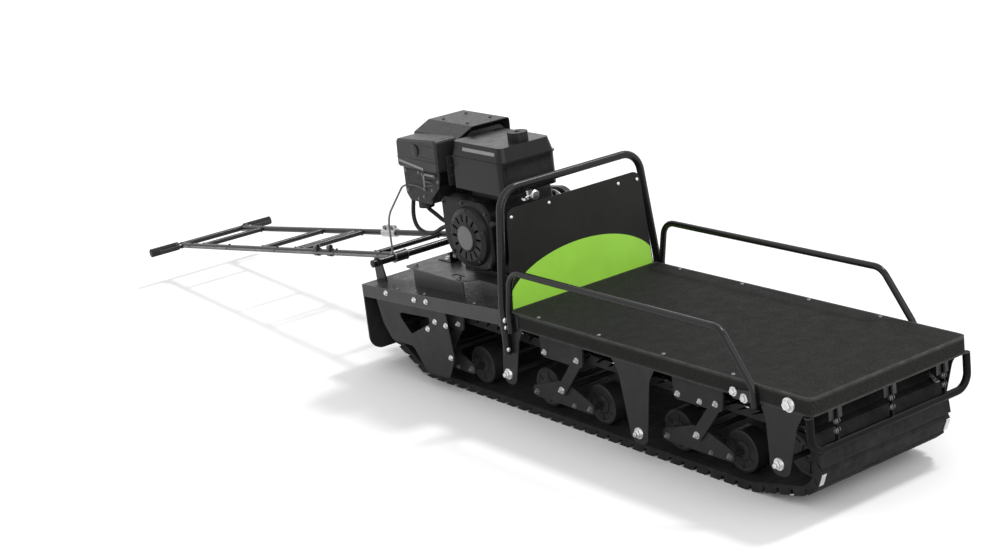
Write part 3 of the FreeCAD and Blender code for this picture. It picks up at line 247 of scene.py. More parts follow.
def grip_coat(name, colour):
    """Rough non-slip coat on the platform; its edges paler in patches, scuffs and a painted
    highlight.
    """
    made = Finish(name, colour, 0.72, gloss=0.07)
    cloud = made.clouded(colour, 5.0, 6.0, 0.94, 1.07)
    fleck = made.ramp(made.noise(230.0, 2.0), 0, 1, 0.42, 0.72)
    grained = made.mix(fleck, cloud, lighter(colour, 2.0))
    # Pale edge band 12 mm wide at seven times the colour: a painted highlight line, with some
    # scuffs.
    made.wear_and_edge_highlight(grained, lighter(colour, 7.0), 0.012, 30.0, 5.0, 0.55, 1.0)
    made.uneven(20.0, 4.0, 0.62, 0.8)
    made.bump(made.noise(420.0, 3.0), 0.0005, 0.6)
    return made.material


def rubber(name, colour, roughness=0.75, grain=160.0, gloss=0.3):
    """Moulded rubber, dusty in its hollows."""
    made = Finish(name, colour, roughness, gloss=gloss)
    dust = made.ramp(made.noise(14.0, 8.0, 0.65), 0, 1, 0.38, 0.68)
    made.colour(made.mix(dust, lighter(colour, 0.8), lighter(colour, 1.6)))
    made.uneven(40.0, 3.0, roughness - 0.1, roughness + 0.1)
    made.bump(made.noise(grain, 5.0), 0.0008, 0.5)
    return made.material


def tread_rubber(name, colour):
    """The track's outer rubber: small ribs across the belt, scuffed pale on the crests."""
    made = Finish(name, colour, 0.78, gloss=0.25)
    dust = made.ramp(made.noise(18.0, 8.0, 0.65), 0, 1, 0.40, 0.70)
    base = made.mix(dust, lighter(colour, 0.75), lighter(colour, 1.7))
    made.wear_and_edge_highlight(base, lighter(colour, 3.0), 0.003, 80.0, 5.0, 0.2, 0.8)
    made.uneven(40.0, 3.0, 0.7, 0.9)
    made.bump(made.bands("Y", 0.0125), 0.0012, 0.6)
    made.bump(made.noise(240.0, 5.0), 0.0008, 0.5)
    return made.material


def moulded_plastic(name, colour, roughness=0.4, gloss=0.4):
    """Injection-moulded plastic with a fine leather-like grain."""
    made = Finish(name, colour, roughness, gloss=gloss)
    made.colour(made.clouded(colour, 18.0, 4.0, 0.88, 1.15))
    made.uneven(90.0, 3.0, roughness - 0.06, roughness + 0.08)
    made.bump(made.cells(1400.0), 0.00012, 0.5)
    return made.material


def cast_paint(name, colour, roughness=0.5, metallic=0.0, gloss=0.4):
    """Painted sand-cast alloy: a coarse skin under thin paint, oily in its hollows."""
    made = Finish(name, colour, roughness, metallic, gloss)
    cloud = made.clouded(colour, 22.0, 6.0, 0.75, 1.3)
    made.wear_and_edge_highlight(cloud, lighter(colour, 2.6), 0.002, 70.0, 5.0, 0.1, 0.6)
    made.uneven(120.0, 4.0, roughness - 0.1, roughness + 0.12)
    made.bump(made.noise(520.0, 6.0), 0.0005, 0.6)
    return made.material


def gloss_paint(name, colour, roughness=0.2, gloss=0.5):
    """Sprayed enamel on pressed sheet, faintly rippled."""
    made = Finish(name, colour, roughness, gloss=gloss)
    made.colour(made.clouded(colour, 9.0, 3.0, 0.9, 1.12))
    made.uneven(30.0, 5.0, roughness - 0.05, roughness + 0.09)
    made.bump(made.noise(45.0, 2.0), 0.0003, 0.35)
    made.shader.inputs["Coat Weight"].default_value = 0.1
    made.shader.inputs["Coat Roughness"].default_value = 0.12
    return made.material


def bare_metal(name, colour, roughness=0.3):
    """Machined or plated metal, finely marked."""
    made = Finish(name, colour, roughness, 1.0)
    made.colour(made.clouded(colour, 40.0, 5.0, 0.75, 1.1))
    made.uneven(150.0, 4.0, roughness - 0.08, roughness + 0.15)
    made.bump(made.noise(900.0, 3.0), 0.00008, 0.5)
    return made.material


def printed_film(name, colour):
    """Self-adhesive colour film, very slightly uneven."""
    made = Finish(name, colour, 0.42, gloss=0.3)
    made.colour(made.clouded(colour, 11.0, 4.0, 0.96, 1.05))
    made.uneven(60.0, 3.0, 0.36, 0.5)
    made.bump(made.noise(300.0, 2.0), 0.00006, 0.4)
    return made.material


def weld_metal(name, colour):
    """Painted weld bead: even ripples under the coat."""
    made = Finish(name, colour, 0.45, gloss=0.4)
    made.colour(made.clouded(colour, 200.0, 3.0, 0.8, 1.5))
    made.uneven(300.0, 3.0, 0.35, 0.55)
    made.bump(made.cells(450.0), 0.0006, 0.8)
    return made.material


def ribbed_grip(name, colour):
    """Foam-soft rubber with fine ribs along the bar."""
    made = Finish(name, colour, 0.72, gloss=0.25)
    made.colour(made.clouded(colour, 60.0, 5.0, 0.8, 1.5))
    made.uneven(80.0, 3.0, 0.62, 0.82)
    made.bump(made.bands("Y", 0.006), 0.0006, 0.7)
    made.bump(made.noise(600.0, 3.0), 0.0003, 0.5)
    return made.material


steel_coat = powder_coat("black_powder_coat", grey(0.016), 0.40, gloss=0.3)
# Its edges are five times paler over 6 mm: a painted highlight line along them, with some wear.
deck_coat = powder_coat("engine_deck_coat", grey(0.016), 0.30, 0.5, 0.8, rim=5.0, edge=0.006)
# Twice the black of the other coats: a painted sheen on the mount plate, over its real gloss.
mount_coat_painted_sheen = powder_coat("mount_plate_coat_painted_sheen", grey(0.032), 0.34, 0.5, 0.8, rim=3.0, edge=0.005)
panel_coat = powder_coat("panel_coat", (0.014, 0.0145, 0.013), 0.5, gloss=0.18)
bumper_coat = powder_coat("bumper_coat", grey(0.004), 0.40, gloss=0.12)
tube_coat = powder_coat("tube_powder_coat", grey(0.008), 0.24, gloss=0.34)
hanger_coat = powder_coat("hanger_coat", grey(0.015), 0.42, gloss=0.25)
under_coat = powder_coat("undercarriage_coat", grey(0.019), 0.5, gloss=0.2, rim=3.0)
platform_coat = grip_coat("platform_grip_coat", (0.0150, 0.0150, 0.0144))
track_rubber = tread_rubber("track_rubber", grey(0.013))
flap_rubber = rubber("flap_rubber", grey(0.014), 0.6, 60.0)
hose_rubber = rubber("hose_rubber", grey(0.010), 0.45, 400.0)
cable_sheath = rubber("cable_sheath", grey(0.130), 0.4, 500.0, gloss=0.5)
grip_rubber = ribbed_grip("grip_rubber", grey(0.013))
roller_plastic = moulded_plastic("roller_plastic", grey(0.018), 0.5, gloss=0.3)
shroud_plastic = moulded_plastic("shroud_plastic", grey(0.018), 0.36)
cover_plastic = moulded_plastic("recoil_cover_plastic", grey(0.013), 0.38, gloss=0.24)
fan_plastic = moulded_plastic("fan_housing_plastic", grey(0.0065), 0.36, gloss=0.2)
cap_plastic = moulded_plastic("cap_plastic", grey(0.011), 0.40)
engine_cast = cast_paint("engine_casting", grey(0.015), 0.46)
head_cast = cast_paint("head_casting", grey(0.022), 0.5, 0.3)
tank_paint = gloss_paint("tank_enamel", grey(0.007), 0.24, 0.24)
guard_paint = cast_paint("heat_paint", (0.024, 0.024, 0.025), 0.36, 0.1, 0.3)
muffler_paint = cast_paint("muffler_paint", grey(0.018), 0.55)
dull_steel = bare_metal("dull_steel", (0.24, 0.24, 0.245), 0.45)
black_steel = bare_metal("blackened_steel", (0.075, 0.075, 0.077), 0.40)
pulley_alloy = bare_metal("pulley_alloy", (0.45, 0.45, 0.46), 0.34)
plated_bolt = bare_metal("zinc_plated_bolt", (0.84, 0.84, 0.85), 0.30)
clamp_alloy = bare_metal("clamp_alloy", (0.62, 0.62, 0.63), 0.36)
plug_ceramic = gloss_paint("plug_ceramic", (0.60, 0.59, 0.57), 0.18)
green_film = printed_film("green_film", (0.335, 0.690, 0.068))
# Pale grey strips: a painted highlight on the air cleaner's lower edge, and a plain pale strip on
# the tank.
pale_strip = printed_film("grey_pale_strip", (0.260, 0.260, 0.265))
centre_film = printed_film("grey_centre_film", (0.150, 0.150, 0.152))
bead_metal = weld_metal("painted_weld_bead", grey(0.015))

# The finish that each solid wears, and steel_coat for the rest.
FINISHES = (
    (platform_coat, "cargo_deck"),
    (deck_coat, "engine_deck"),
    (mount_coat_painted_sheen, "engine_mount"),
    (panel_coat, "bulkhead_panel"),
    (tube_coat, "bulkhead_hoop right_rail left_rail steering_frame frame_rungs hinge_bar"),
    (bumper_coat, "front_bumper right_bumper_end left_bumper_end"),
    (hanger_coat, "hangers right_rear_plate left_rear_plate"),
    (track_rubber, "track"),
    (flap_rubber, "mudflap"),
    (hose_rubber, "drive_belt fuel_line"),
    (cable_sheath, "throttle_cable throttle_cable_rear"),
    (grip_rubber, "hand_grips"),
    (cap_plastic, "control_levers fuel_cap"),
    (roller_plastic, "road_rollers front_idler"),
    (under_coat, "drive_shaft tie_rods suspension_brackets swing_arms roller_carriers "
                 "main_frame"),
    (engine_cast, "engine_block"),
    (head_cast, "cylinder cylinder_head carburettor"),
    (fan_plastic, "fan_housing"),
    (cover_plastic, "recoil_starter"),
    (shroud_plastic, "air_cleaner"),
    (tank_paint, "fuel_tank"),
    (muffler_paint, "muffler"),
    (guard_paint, "exhaust_guard"),
    (pulley_alloy, "drive_pulley driven_pulley"),
)
finish_of = {name: coat for coat, names in FINISHES for name in names.split()}
for name, thing in nodes.items():
    thing.data.materials.clear()
    thing.data.materials.append(finish_of.get(name, steel_coat))


# ---------------------------------------------------------------- making pieces

# Faces that meet at more than this keep a crisp edge between them.
SHARP = math.radians(35)


def finished(name, shape, finish, body, smooth=False):
    """Turn a bmesh into a piece that rides on a body, or on none."""
    bmesh.ops.remove_doubles(shape, verts=shape.verts, dist=1e-6)
    bmesh.ops.recalc_face_normals(shape, faces=shape.faces)
    mesh = bpy.data.meshes.new(name)
    shape.to_mesh(mesh)
    shape.free()
    mesh.materials.append(finish)
    if smooth:
        mesh.shade_smooth()
        mesh.set_sharp_from_angle(angle=SHARP)
    piece = bpy.data.objects.new(name, mesh)
    bpy.context.scene.collection.objects.link(piece)
    if body:
        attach(piece, body)
    return piece


def facing(direction, place):
    """A matrix that stands a shape's Z axis along a direction at a point."""
    turn = UP.rotation_difference(Vector(direction)).to_matrix().to_4x4()
    return Matrix.Translation(place) @ turn


def standing(along, across, up, place):
    """A matrix that takes X, Y and Z to three directions, and the origin to a point."""
    stand = Matrix((along, across, up)).transposed().to_4x4()
    stand.translation = place
    return stand


def add_rod(shape, start, end, radius):
    """A round bar between two points."""
    start, end = Vector(start), Vector(end)
    run = end - start
    bmesh.ops.create_cone(shape, cap_ends=True, segments=16, radius1=radius, radius2=radius,
                          depth=run.length, matrix=facing(run, (start + end) / 2))


def add_block(shape, low, high, edge=0.001, stand=None):
    """A bar between two corners, its edges rounded, placed by a matrix."""
    low, high = Vector(low), Vector(high)
    made = bmesh.ops.create_cube(shape, size=1.0)["verts"]
    bmesh.ops.scale(shape, vec=high - low, verts=made)
    bmesh.ops.translate(shape, vec=(low + high) / 2, verts=made)
    if stand is not None:
        bmesh.ops.transform(shape, matrix=stand, verts=made)
    rims = list({e for v in made for e in v.link_edges})
    bmesh.ops.bevel(shape, geom=rims, offset=edge, affect="EDGES", segments=2, profile=0.5,
                    material=-1)


def add_turned(shape, place, direction, profile, steps=32):
    """A turned form: points (radius, height) spun about a direction."""
    stand = facing(direction, place)
    points = [shape.verts.new(stand @ Vector((radius, 0, height))) for radius, height in profile]
    edges = [shape.edges.new(pair) for pair in zip(points, points[1:])]
    bmesh.ops.spin(shape, geom=points + edges, cent=place, axis=Vector(direction).normalized(),
                   angle=math.tau, steps=steps, use_merge=True)


def add_ring(shape, place, direction, radius, thick):
    """A round ring about a point, such as a weld bead."""
    stand = facing(direction, place)
    upright = stand @ Matrix.Translation((radius, 0, 0)) @ Matrix.Rotation(math.pi / 2, 4, "X")
    loop = bmesh.ops.create_circle(shape, segments=8, radius=thick, matrix=upright)["verts"]
    edges = list({e for v in loop for e in v.link_edges})
    bmesh.ops.spin(shape, geom=loop + edges, cent=place, axis=Vector(direction).normalized(),
                   angle=math.tau, steps=32, use_merge=True)


def add_bolt(shape, place, direction, size):
    """A hex head on its washer, size across the flats."""
    washer = [(0, 0), (0.82, 0), (0.78, 0.12), (0, 0.12)]
    head = [(0, 0.06), (0.577, 0.06), (0.577, 0.46), (0.48, 0.54), (0, 0.54)]
    for profile, sides in ((washer, 24), (head, 6)):
        add_turned(shape, place, direction, [(size * r, size * z) for r, z in profile], sides)


def add_nut(shape, place, direction, size):
    """A hex nut on a wide washer, with the end of its stud."""
    direction = Vector(direction).normalized()
    add_bolt(shape, place, direction, size)
    add_turned(shape, Vector(place) + direction * size * 0.5, direction,
               [(0, 0), (size * 0.33, 0), (size * 0.33, size * 0.28), (size * 0.27, size * 0.36),
                (0, size * 0.36)], 16)


def add_dome(shape, place, direction, size):
    """A low round head of that diameter."""
    r = size / 2
    add_turned(shape, place, direction,
               [(0, 0), (r, 0), (r, r * 0.12), (r * 0.86, r * 0.42), (r * 0.5, r * 0.60),
                (0, r * 0.66)], 20)


def add_low(shape, place, direction, size):
    """A thin pan head."""
    r = size / 2
    add_turned(shape, place, direction,
               [(0, 0), (r, 0), (r, 0.0012), (r * 0.8, 0.0024), (r * 0.4, 0.0029),
                (0, 0.0030)], 20)


def add_flush(shape, place, direction, size):
    """A countersunk head that stands hardly above its plate."""
    r = size / 2
    add_turned(shape, place, direction,
               [(0, 0), (r, 0), (r * 0.92, 0.0007), (r * 0.34, 0.0008), (r * 0.30, 0.0003),
                (0, 0.0003)], 20)


def fixings(name, places, kind=add_bolt, body="chassis", finish=plated_bolt):
    """One joined piece of fixings: (point, direction, size) for each."""
    shape = bmesh.new()
    for place, direction, size in places:
        kind(shape, Vector(place), direction, size)
    finished(name, shape, finish, body, smooth=True)


def both_sides(points, lane, size):
    """The same fixings on the right and left faces at a distance from the middle."""
    found = []
    for x, z in points:
        found.append((at(x, -lane, z), RIGHT, size))
        found.append((at(x, lane, z), LEFT, size))
    return found


def wire(name, routes, radius, finish, body):
    """Round wire or hose that follows smooth routes of points."""
    curve = bpy.data.curves.new(name, "CURVE")
    curve.dimensions = "3D"
    curve.bevel_depth = radius
    curve.bevel_resolution = 3
    curve.use_fill_caps = True
    for route in routes:
        spline = curve.splines.new("NURBS")
        spline.points.add(len(route) - 1)
        for point, place in zip(spline.points, route):
            point.co = (*place, 1)
        spline.order_u = 3
        spline.use_endpoint_u = True
        spline.resolution_u = 8
    holder = bpy.data.objects.new(name + "_route", curve)
    shape = bmesh.new()
    shape.from_mesh(bpy.data.meshes.new_from_object(holder))
    bpy.data.objects.remove(holder)
    return finished(name, shape, finish, body, smooth=True)


# ---------------------------------------------------------------- chassis fixings

fixings("skirt_corner_bolts", both_sides([(1.190, 0.319)], HALF, 0.026))
fixings("hanger_nuts", both_sides([(-0.038, 0.141), (0.570, 0.091), IDLER], HALF, 0.022), add_nut)
fixings("rail_foot_bolts", both_sides([(0.987, 0.312), (1.027, 0.301)], HALF + 0.003, 0.017))


def hoop_foot_screws():
    """Screws through the hoop's feet, on the front quarter of the tube."""
    places = []
    for side in (-1, 1):
        out = Vector((0.97, side * 0.24, 0)).normalized()
        for height, size in ((0.326, 0.017), (0.303, 0.014), (0.232, 0.014)):
            places.append((at(-0.0125, side * 0.3125, height) + out * 0.0115, out, size))
    fixings("hoop_foot_screws", places, add_low)


hoop_foot_screws()

# The rows of screws along both edges of the platform and of the engine deck.
SCREW_LANES = (-0.284, 0.284)
fixings("platform_screws",
        [(at(x, y, DECK), UP, 0.013) for x in (0.128, 0.411, 0.692, 0.971) for y in SCREW_LANES],
        add_dome, finish=dull_steel)
BULKHEAD_HOLES = ((-0.250, 0.636), (-0.103, 0.646), (0.173, 0.640), (0.250, 0.636))
fixings("bulkhead_screws", [(at(0, y, z), AHEAD, 0.012) for y, z in BULKHEAD_HOLES], add_dome)


def deck_height(back):
    """Height of the engine deck's sloping top, a distance behind the bulkhead."""
    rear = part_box("engine_deck")[0].x
    rear_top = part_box("tow_hitch")[1].z + 0.003
    return DECK + (rear_top - DECK) * back / (BACK - rear)


ENGINE_DECK_HOLES = [(x, y) for x in (0.060, 0.200, 0.480, 0.640, 0.770) for y in SCREW_LANES]
ENGINE_DECK_HOLES.append((0.700, 0.031))
fixings("engine_deck_screws",
        [(at(-x, y, deck_height(x)), UP, 0.013) for x, y in ENGINE_DECK_HOLES],
        add_dome, finish=dull_steel)

REAR_SKIRT = ((-0.525, 0.293), (-0.455, 0.299), (-0.417, 0.238), (-0.356, 0.236), (-0.464, 0.205),
              (-0.350, 0.128))
fixings("rear_plate_bolts", both_sides(REAR_SKIRT, HALF, 0.012)
        + [(at(-0.692, -HALF, 0.287), RIGHT, 0.012)])


def bracket_fixings():
    """Bolts of the roller modules' brackets and of the pivots of their arms."""
    bracket, arm = TRACK_HALF + 0.026, TRACK_HALF + 0.020
    found = []
    for pivot in MODULES:
        x = pivot - BACK
        found += both_sides([(x - 0.058, 0.239), (x + 0.096, 0.243)], bracket, 0.012)
        found += both_sides([(x, PIVOT_HEIGHT)], arm, 0.014)
    x = MODULES[-1] - BACK
    return found + both_sides([(x + 0.032, 0.236)], bracket, 0.011)


def carrier_fixings():
    """Axle nuts and rivets of the roller carriers."""
    carrier = TRACK_HALF + 0.012
    found = []
    for pivot in MODULES:
        x = pivot - BACK
        found += both_sides([(x - ROLLER_BACK, ROLLER_HEIGHT), (x + ROLLER_AHEAD, ROLLER_HEIGHT)],
                            carrier, 0.012)
        found += both_sides([(x + 0.045, 0.084)], carrier, 0.010)
    return found


fixings("bracket_nuts", bracket_fixings(), add_nut, finish=clamp_alloy)
fixings("carrier_nuts", carrier_fixings(), add_nut, finish=dull_steel)


# ---------------------------------------------------------------- front edge


def front_hardware():
    """Nuts on the bumper's straps, and angle cleats that tie the straps to the frame."""
    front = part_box("front_bumper")[1].x
    nuts = bmesh.new()
    cleats = bmesh.new()
    strap = 0.003
    for lane in (-0.205, 0.0, 0.205):
        for height in (0.236, 0.262):
            add_bolt(nuts, Vector((front - 0.011, lane + strap, height)), LEFT, 0.011)
            add_bolt(nuts, Vector((front - 0.011, lane - strap, height)), RIGHT, 0.011)
        for side in (-1, 1):
            near, far = sorted((lane + side * strap, lane + side * 0.024))
            add_block(cleats, (front - 0.016, near, 0.266), (front - 0.013, far, SKIRT), 0.0006)
    finished("bumper_strap_nuts", nuts, dull_steel, "chassis", True)
    finished("bumper_cleats", cleats, black_steel, "chassis")


front_hardware()


# ---------------------------------------------------------------- the track's clips


def track_point(distance, out):
    """A point on the track, a distance along it from the top of the drive sprocket and out from
    its inner face, and the way that the belt faces there."""
    stops = [(*SPROCKET, WHEEL_RADIUS), (*IDLER, WHEEL_RADIUS)]
    stops += [(x, BEND_HEIGHT, BEND_RADIUS) for x in BENDS]
    count = len(stops)
    lifts, spans = [], []
    for i in range(count):
        ax, az, ar = stops[i]
        bx, bz, br = stops[(i + 1) % count]
        lift = math.atan2(bz - az, bx - ax) + math.pi / 2
        lift += math.asin((br - ar) / math.hypot(bx - ax, bz - az))
        lifts.append(lift)
        spans.append((Vector((ax + ar * math.cos(lift), az + ar * math.sin(lift))),
                      Vector((bx + br * math.cos(lift), bz + br * math.sin(lift)))))
    left = distance
    for i in range(count):
        start, end = spans[i]
        run = (end - start).length
        if left <= run:
            place = start.lerp(end, left / run)
            lift = lifts[i]
            break
        left -= run
        x, z, r = stops[(i + 1) % count]
        turn = (lifts[i] - lifts[(i + 1) % count]) % math.tau
        if left <= turn * r:
            lift = lifts[i] - left / r
            place = Vector((x + r * math.cos(lift), z + r * math.sin(lift)))
            break
        left -= turn * r
    normal = Vector((math.cos(lift), 0, math.sin(lift)))
    return Vector((BACK + place.x, 0, place.y)) + normal * out, normal


LUG_PITCH = 0.054
CLIP_PITCH = 2 * LUG_PITCH
FIRST_CLIP = 0.033
LOWEST_CLIP = 0.030
CLIP_LANE = 0.2405


def track_clips():
    """Plated clips folded over the track's crests near its two edges, on every other crest, but
    not on those that lie on the ground."""
    shape = bmesh.new()
    for step in range(int(TRACK_LENGTH / CLIP_PITCH)):
        middle, normal = track_point(step * CLIP_PITCH + FIRST_CLIP, CREST)
        if middle.z < LOWEST_CLIP:
            continue
        along = normal.cross(LEFT)
        for lane in (-CLIP_LANE, CLIP_LANE):
            stand = standing(along, LEFT, normal, middle + LEFT * lane)
            add_block(shape, (-0.019, -0.008, -0.0030), (0.019, 0.008, 0.0002), 0.0006, stand)
    finished("track_clips", shape, plated_bolt, "chassis")


track_clips()


# ---------------------------------------------------------------- wheels of the undercarriage


def wheel_faces(shape, place, radius, hub, side):
    """What shows on a wheel's side: a tyre lip, ribs, and a bearing housing round its axle."""
    lip, housing, axle = radius - 0.013, 0.006, 0.0085
    add_turned(shape, place, side,
               [(radius, -0.003), (radius, 0.0008), (radius - 0.004, 0.0022),
                (radius - 0.010, 0.0022), (lip, 0.0004), (lip, -0.003), (radius, -0.003)], 48)
    add_turned(shape, place, side,
               [(hub + 0.012, -0.003), (hub + 0.011, 0.002), (hub + 0.003, housing),
                (hub - 0.002, housing), (hub - 0.004, 0.003), (axle, 0.003), (axle, -0.003),
                (hub + 0.012, -0.003)], 40)
    for step in range(6):
        along = Matrix.Rotation(step * math.tau / 6, 4, side) @ UP
        across = along.cross(side)
        stand = standing(along, across, side, place)
        add_block(shape, (hub + 0.009, -0.0025, -0.002), (radius - 0.012, 0.0025, 0.0024),
                  0.0008, stand)


def roller_faces():
    """Both faces of every road roller."""
    shape = bmesh.new()
    for pivot in MODULES:
        for x in (pivot - ROLLER_BACK, pivot + ROLLER_AHEAD):
            for lane in (-ROLLER_LANE, ROLLER_LANE):
                for side in (RIGHT, LEFT):
                    place = Vector((x, lane, ROLLER_HEIGHT)) + side * 0.025
                    wheel_faces(shape, place, ROLLER_RADIUS, 0.018, side)
    finished("roller_faces", shape, roller_plastic, "chassis", True)


def idler_faces():
    """Both faces of the front idler's three wheels."""
    shape = bmesh.new()
    for lane in (-0.170, 0.0, 0.170):
        for side in (RIGHT, LEFT):
            place = at(IDLER[0], lane, IDLER[1]) + side * 0.020
            wheel_faces(shape, place, WHEEL_RADIUS - 0.0005, 0.022, side)
    finished("idler_faces", shape, roller_plastic, "chassis", True)


roller_faces()
idler_faces()


# ---------------------------------------------------------------- welds


def along_frame(back, lane=0.0, above=0.0):
    """A point on the steering frame, a distance behind its hinge."""
    return HINGE + Vector((-back * math.cos(PITCH) - above * math.sin(PITCH), lane,
                           -back * math.sin(PITCH) + above * math.cos(PITCH)))


def frame_welds():
    """Beads round the rungs' ends, and round the rails at the hinge and at the grips."""
    shape = bmesh.new()
    for back in RUNGS:
        for side in (-1, 1):
            add_ring(shape, along_frame(back, side * (RAIL_LANE - 0.0125)), LEFT, 0.0106, 0.0022)
    run = (along_frame(1) - along_frame(0)).normalized()
    for side in (-1, 1):
        add_ring(shape, along_frame(0.019, side * RAIL_LANE), run, 0.0116, 0.0026)
        add_ring(shape, along_frame(1.678, side * RAIL_LANE), run, 0.0116, 0.0022)
    finished("frame_welds", shape, bead_metal, "steering_frame", True)


def chassis_welds():
    """Beads under the bumper's ends and round the hinge tube's supports."""
    shape = bmesh.new()
    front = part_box("front_bumper")[1].x - 0.011
    for side in (-1, 1):
        add_ring(shape, Vector((front - 0.0023, side * HALF, SKIRT - 0.0012)), UP, 0.0112, 0.0020)
        for lane in (-0.243, -0.231, 0.231, 0.243):
            add_ring(shape, Vector((HINGE.x, lane, HINGE.z)), LEFT, 0.0130, 0.0018)
    finished("chassis_welds", shape, bead_metal, "chassis", True)


frame_welds()
chassis_welds()


# ---------------------------------------------------------------- steering frame trim


def cable_ties():
    """Ties that hold the cable to the right-hand rail: a band, its lock, and a loop."""
    shape = bmesh.new()
    run = (along_frame(1) - along_frame(0)).normalized()
    band = [(0.0, -0.0022), (0.0011, -0.0022), (0.0011, 0.0022), (0.0, 0.0022), (0.0, -0.0022)]
    for back in (0.12, 0.42, 0.86, 1.25, 1.58):
        rail = along_frame(back, -RAIL_LANE)
        cable = along_frame(back, -RAIL_LANE - 0.0145)
        add_turned(shape, rail, run, [(0.0102 + out, height) for out, height in band], 36)
        add_turned(shape, cable, run, [(0.0037 + out, height) for out, height in band], 24)
        lock = along_frame(back, -RAIL_LANE, 0.0125)
        stand = Matrix.Translation(lock) @ Matrix.Rotation(-PITCH, 4, "Y")
        add_block(shape, (-0.003, -0.0035, -0.002), (0.003, 0.0035, 0.003), 0.0007, stand)
    finished("cable_ties", shape, cap_plastic, "steering_frame", True)


def rail_clamp(shape, screws, start, length, side, outer=0.0150):
    """A split sleeve round a rail with its two ears and pinch screws, from a distance behind the
    hinge forwards."""
    run = (along_frame(0) - along_frame(1)).normalized()
    above = Vector((-math.sin(PITCH), 0, math.cos(PITCH)))
    place = along_frame(start, side * RAIL_LANE)
    add_turned(shape, place, run,
               [(0.0111, 0), (outer - 0.0010, 0), (outer, 0.0012), (outer, length - 0.0012),
                (outer - 0.0010, length), (0.0111, length), (0.0111, 0)], 36)
    stand = standing(run, above.cross(run), above, place)
    for lane in (-0.0062, 0.0022):
        add_block(shape, (0.003, lane, 0.0125), (length - 0.003, lane + 0.004, 0.0265), 0.0006,
                  stand)
    for step in ((0.5,) if length < 0.04 else (0.25, 0.75)):
        pinch = place + run * length * step + above * 0.0200
        add_bolt(screws, pinch + LEFT * 0.0062, LEFT, 0.010)
        add_nut(screws, pinch + RIGHT * 0.0062, RIGHT, 0.010)


def telescope_clamps():
    """Pinch clamps where the front part of each rail slides on the rear part: a short pair on the
    right, and one long alloy sleeve on the left."""
    right, left, screws = bmesh.new(), bmesh.new(), bmesh.new()
    rail_clamp(right, screws, 0.480, 0.026, -1)
    rail_clamp(right, screws, 0.572, 0.026, -1)
    rail_clamp(left, screws, 0.555, 0.090, 1, 0.0165)
    finished("right_rail_clamps", right, tube_coat, "steering_frame", True)
    finished("left_rail_clamp", left, clamp_alloy, "steering_frame", True)
    finished("rail_clamp_screws", screws, dull_steel, "steering_frame", True)


def grip_ends():
    """The plug in the open end of each hand grip."""
    shape = bmesh.new()
    low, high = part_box("hand_grips")
    for side in (-1, 1):
        outer = high.y if side > 0 else low.y
        middle = (low + high) / 2
        add_turned(shape, Vector((middle.x, outer, middle.z)), Vector((0, side, 0)),
                   [(0.0, 0.0012), (0.0060, 0.0012), (0.0070, 0.0024), (0.0105, 0.0026),
                    (0.0125, 0.0012), (0.0130, -0.0010), (0.0, -0.0010)], 32)
    finished("grip_end_plugs", shape, cap_plastic, "steering_frame", True)


def lever_screws():
    """The screws that the throttle and brake levers turn on."""
    places = []
    for side in (-1, 1):
        place = along_frame(1.650, side * 0.1645, 0.004)
        places.append((place, Vector((-math.sin(PITCH), 0, math.cos(PITCH))), 0.009))
    fixings("lever_pivot_screws", places, body="steering_frame")


def hinge_ends():
    """Turned plugs in the hinge tube, and washers each side of the rails' sleeves."""
    shape = bmesh.new()
    for side in (-1, 1):
        add_turned(shape, HINGE + Vector((0, side * 0.252, 0)), Vector((0, side, 0)),
                   [(0.0, 0.003), (0.0128, 0.003), (0.0134, 0.0045), (0.0134, 0.0065),
                    (0.0110, 0.0080), (0.0, 0.0085)], 28)
    finished("hinge_tube_plugs", shape, cap_plastic, "chassis", True)
    collars = bmesh.new()
    for side in (-1, 1):
        for lane in (0.1206, 0.1694):
            add_turned(collars, HINGE + Vector((0, side * lane, 0)), LEFT,
                       [(0.0126, -0.0018), (0.0190, -0.0018), (0.0195, 0), (0.0190, 0.0018),
                        (0.0126, 0.0018), (0.0126, -0.0018)], 36)
    finished("hinge_collars", collars, dull_steel, "chassis", True)


def cable_boot():
    """The bare bend of the cable past the hinge."""
    start = along_frame(0.030, -0.1595, 0.001)
    end = Vector((HINGE.x, -0.172, HINGE.z + 0.0135))
    middle = (start + end) / 2 + Vector((0, -0.004, 0.008))
    piece = wire("cable_boot", [[start, middle, end]], 0.0040, cable_sheath, None)
    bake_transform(piece)


cable_ties()
telescope_clamps()
grip_ends()
lever_screws()
hinge_ends()
cable_boot()


# ---------------------------------------------------------------- mudflap and hitch


def flap_strip():
    """The steel strip that clamps the mudflap, with its screws."""
    shape = bmesh.new()
    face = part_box("mudflap")[0].x
    for low, high in ((-0.290, -0.075), (0.075, 0.290)):
        add_block(shape, (face - 0.003, low, 0.256), (face, high, 0.280), 0.0006)
    finished("mudflap_strip", shape, hanger_coat, "chassis")
    places = [(Vector((face - 0.003, lane, 0.268)), -AHEAD, 0.011)
              for lane in (-0.265, -0.183, -0.100, 0.100, 0.183, 0.265)]
    places += [(Vector((face, lane, 0.281)), -AHEAD, 0.011) for lane in (-0.050, 0.050)]
    fixings("mudflap_screws", places)


flap_strip()


# ---------------------------------------------------------------- engine


def on_cylinder(reach, rise, across):
    """A point in the cylinder's own axes: out along it, above it and to its left."""
    return CRANK + Vector((-reach * math.cos(SLOPE) + rise * math.sin(SLOPE), across,
                           reach * math.sin(SLOPE) + rise * math.cos(SLOPE)))


CYLINDER_OUT = Vector((-math.cos(SLOPE), 0, math.sin(SLOPE)))

# The radius of the circle of screws in the recoil cover.
COVER_SCREWS = 0.0885


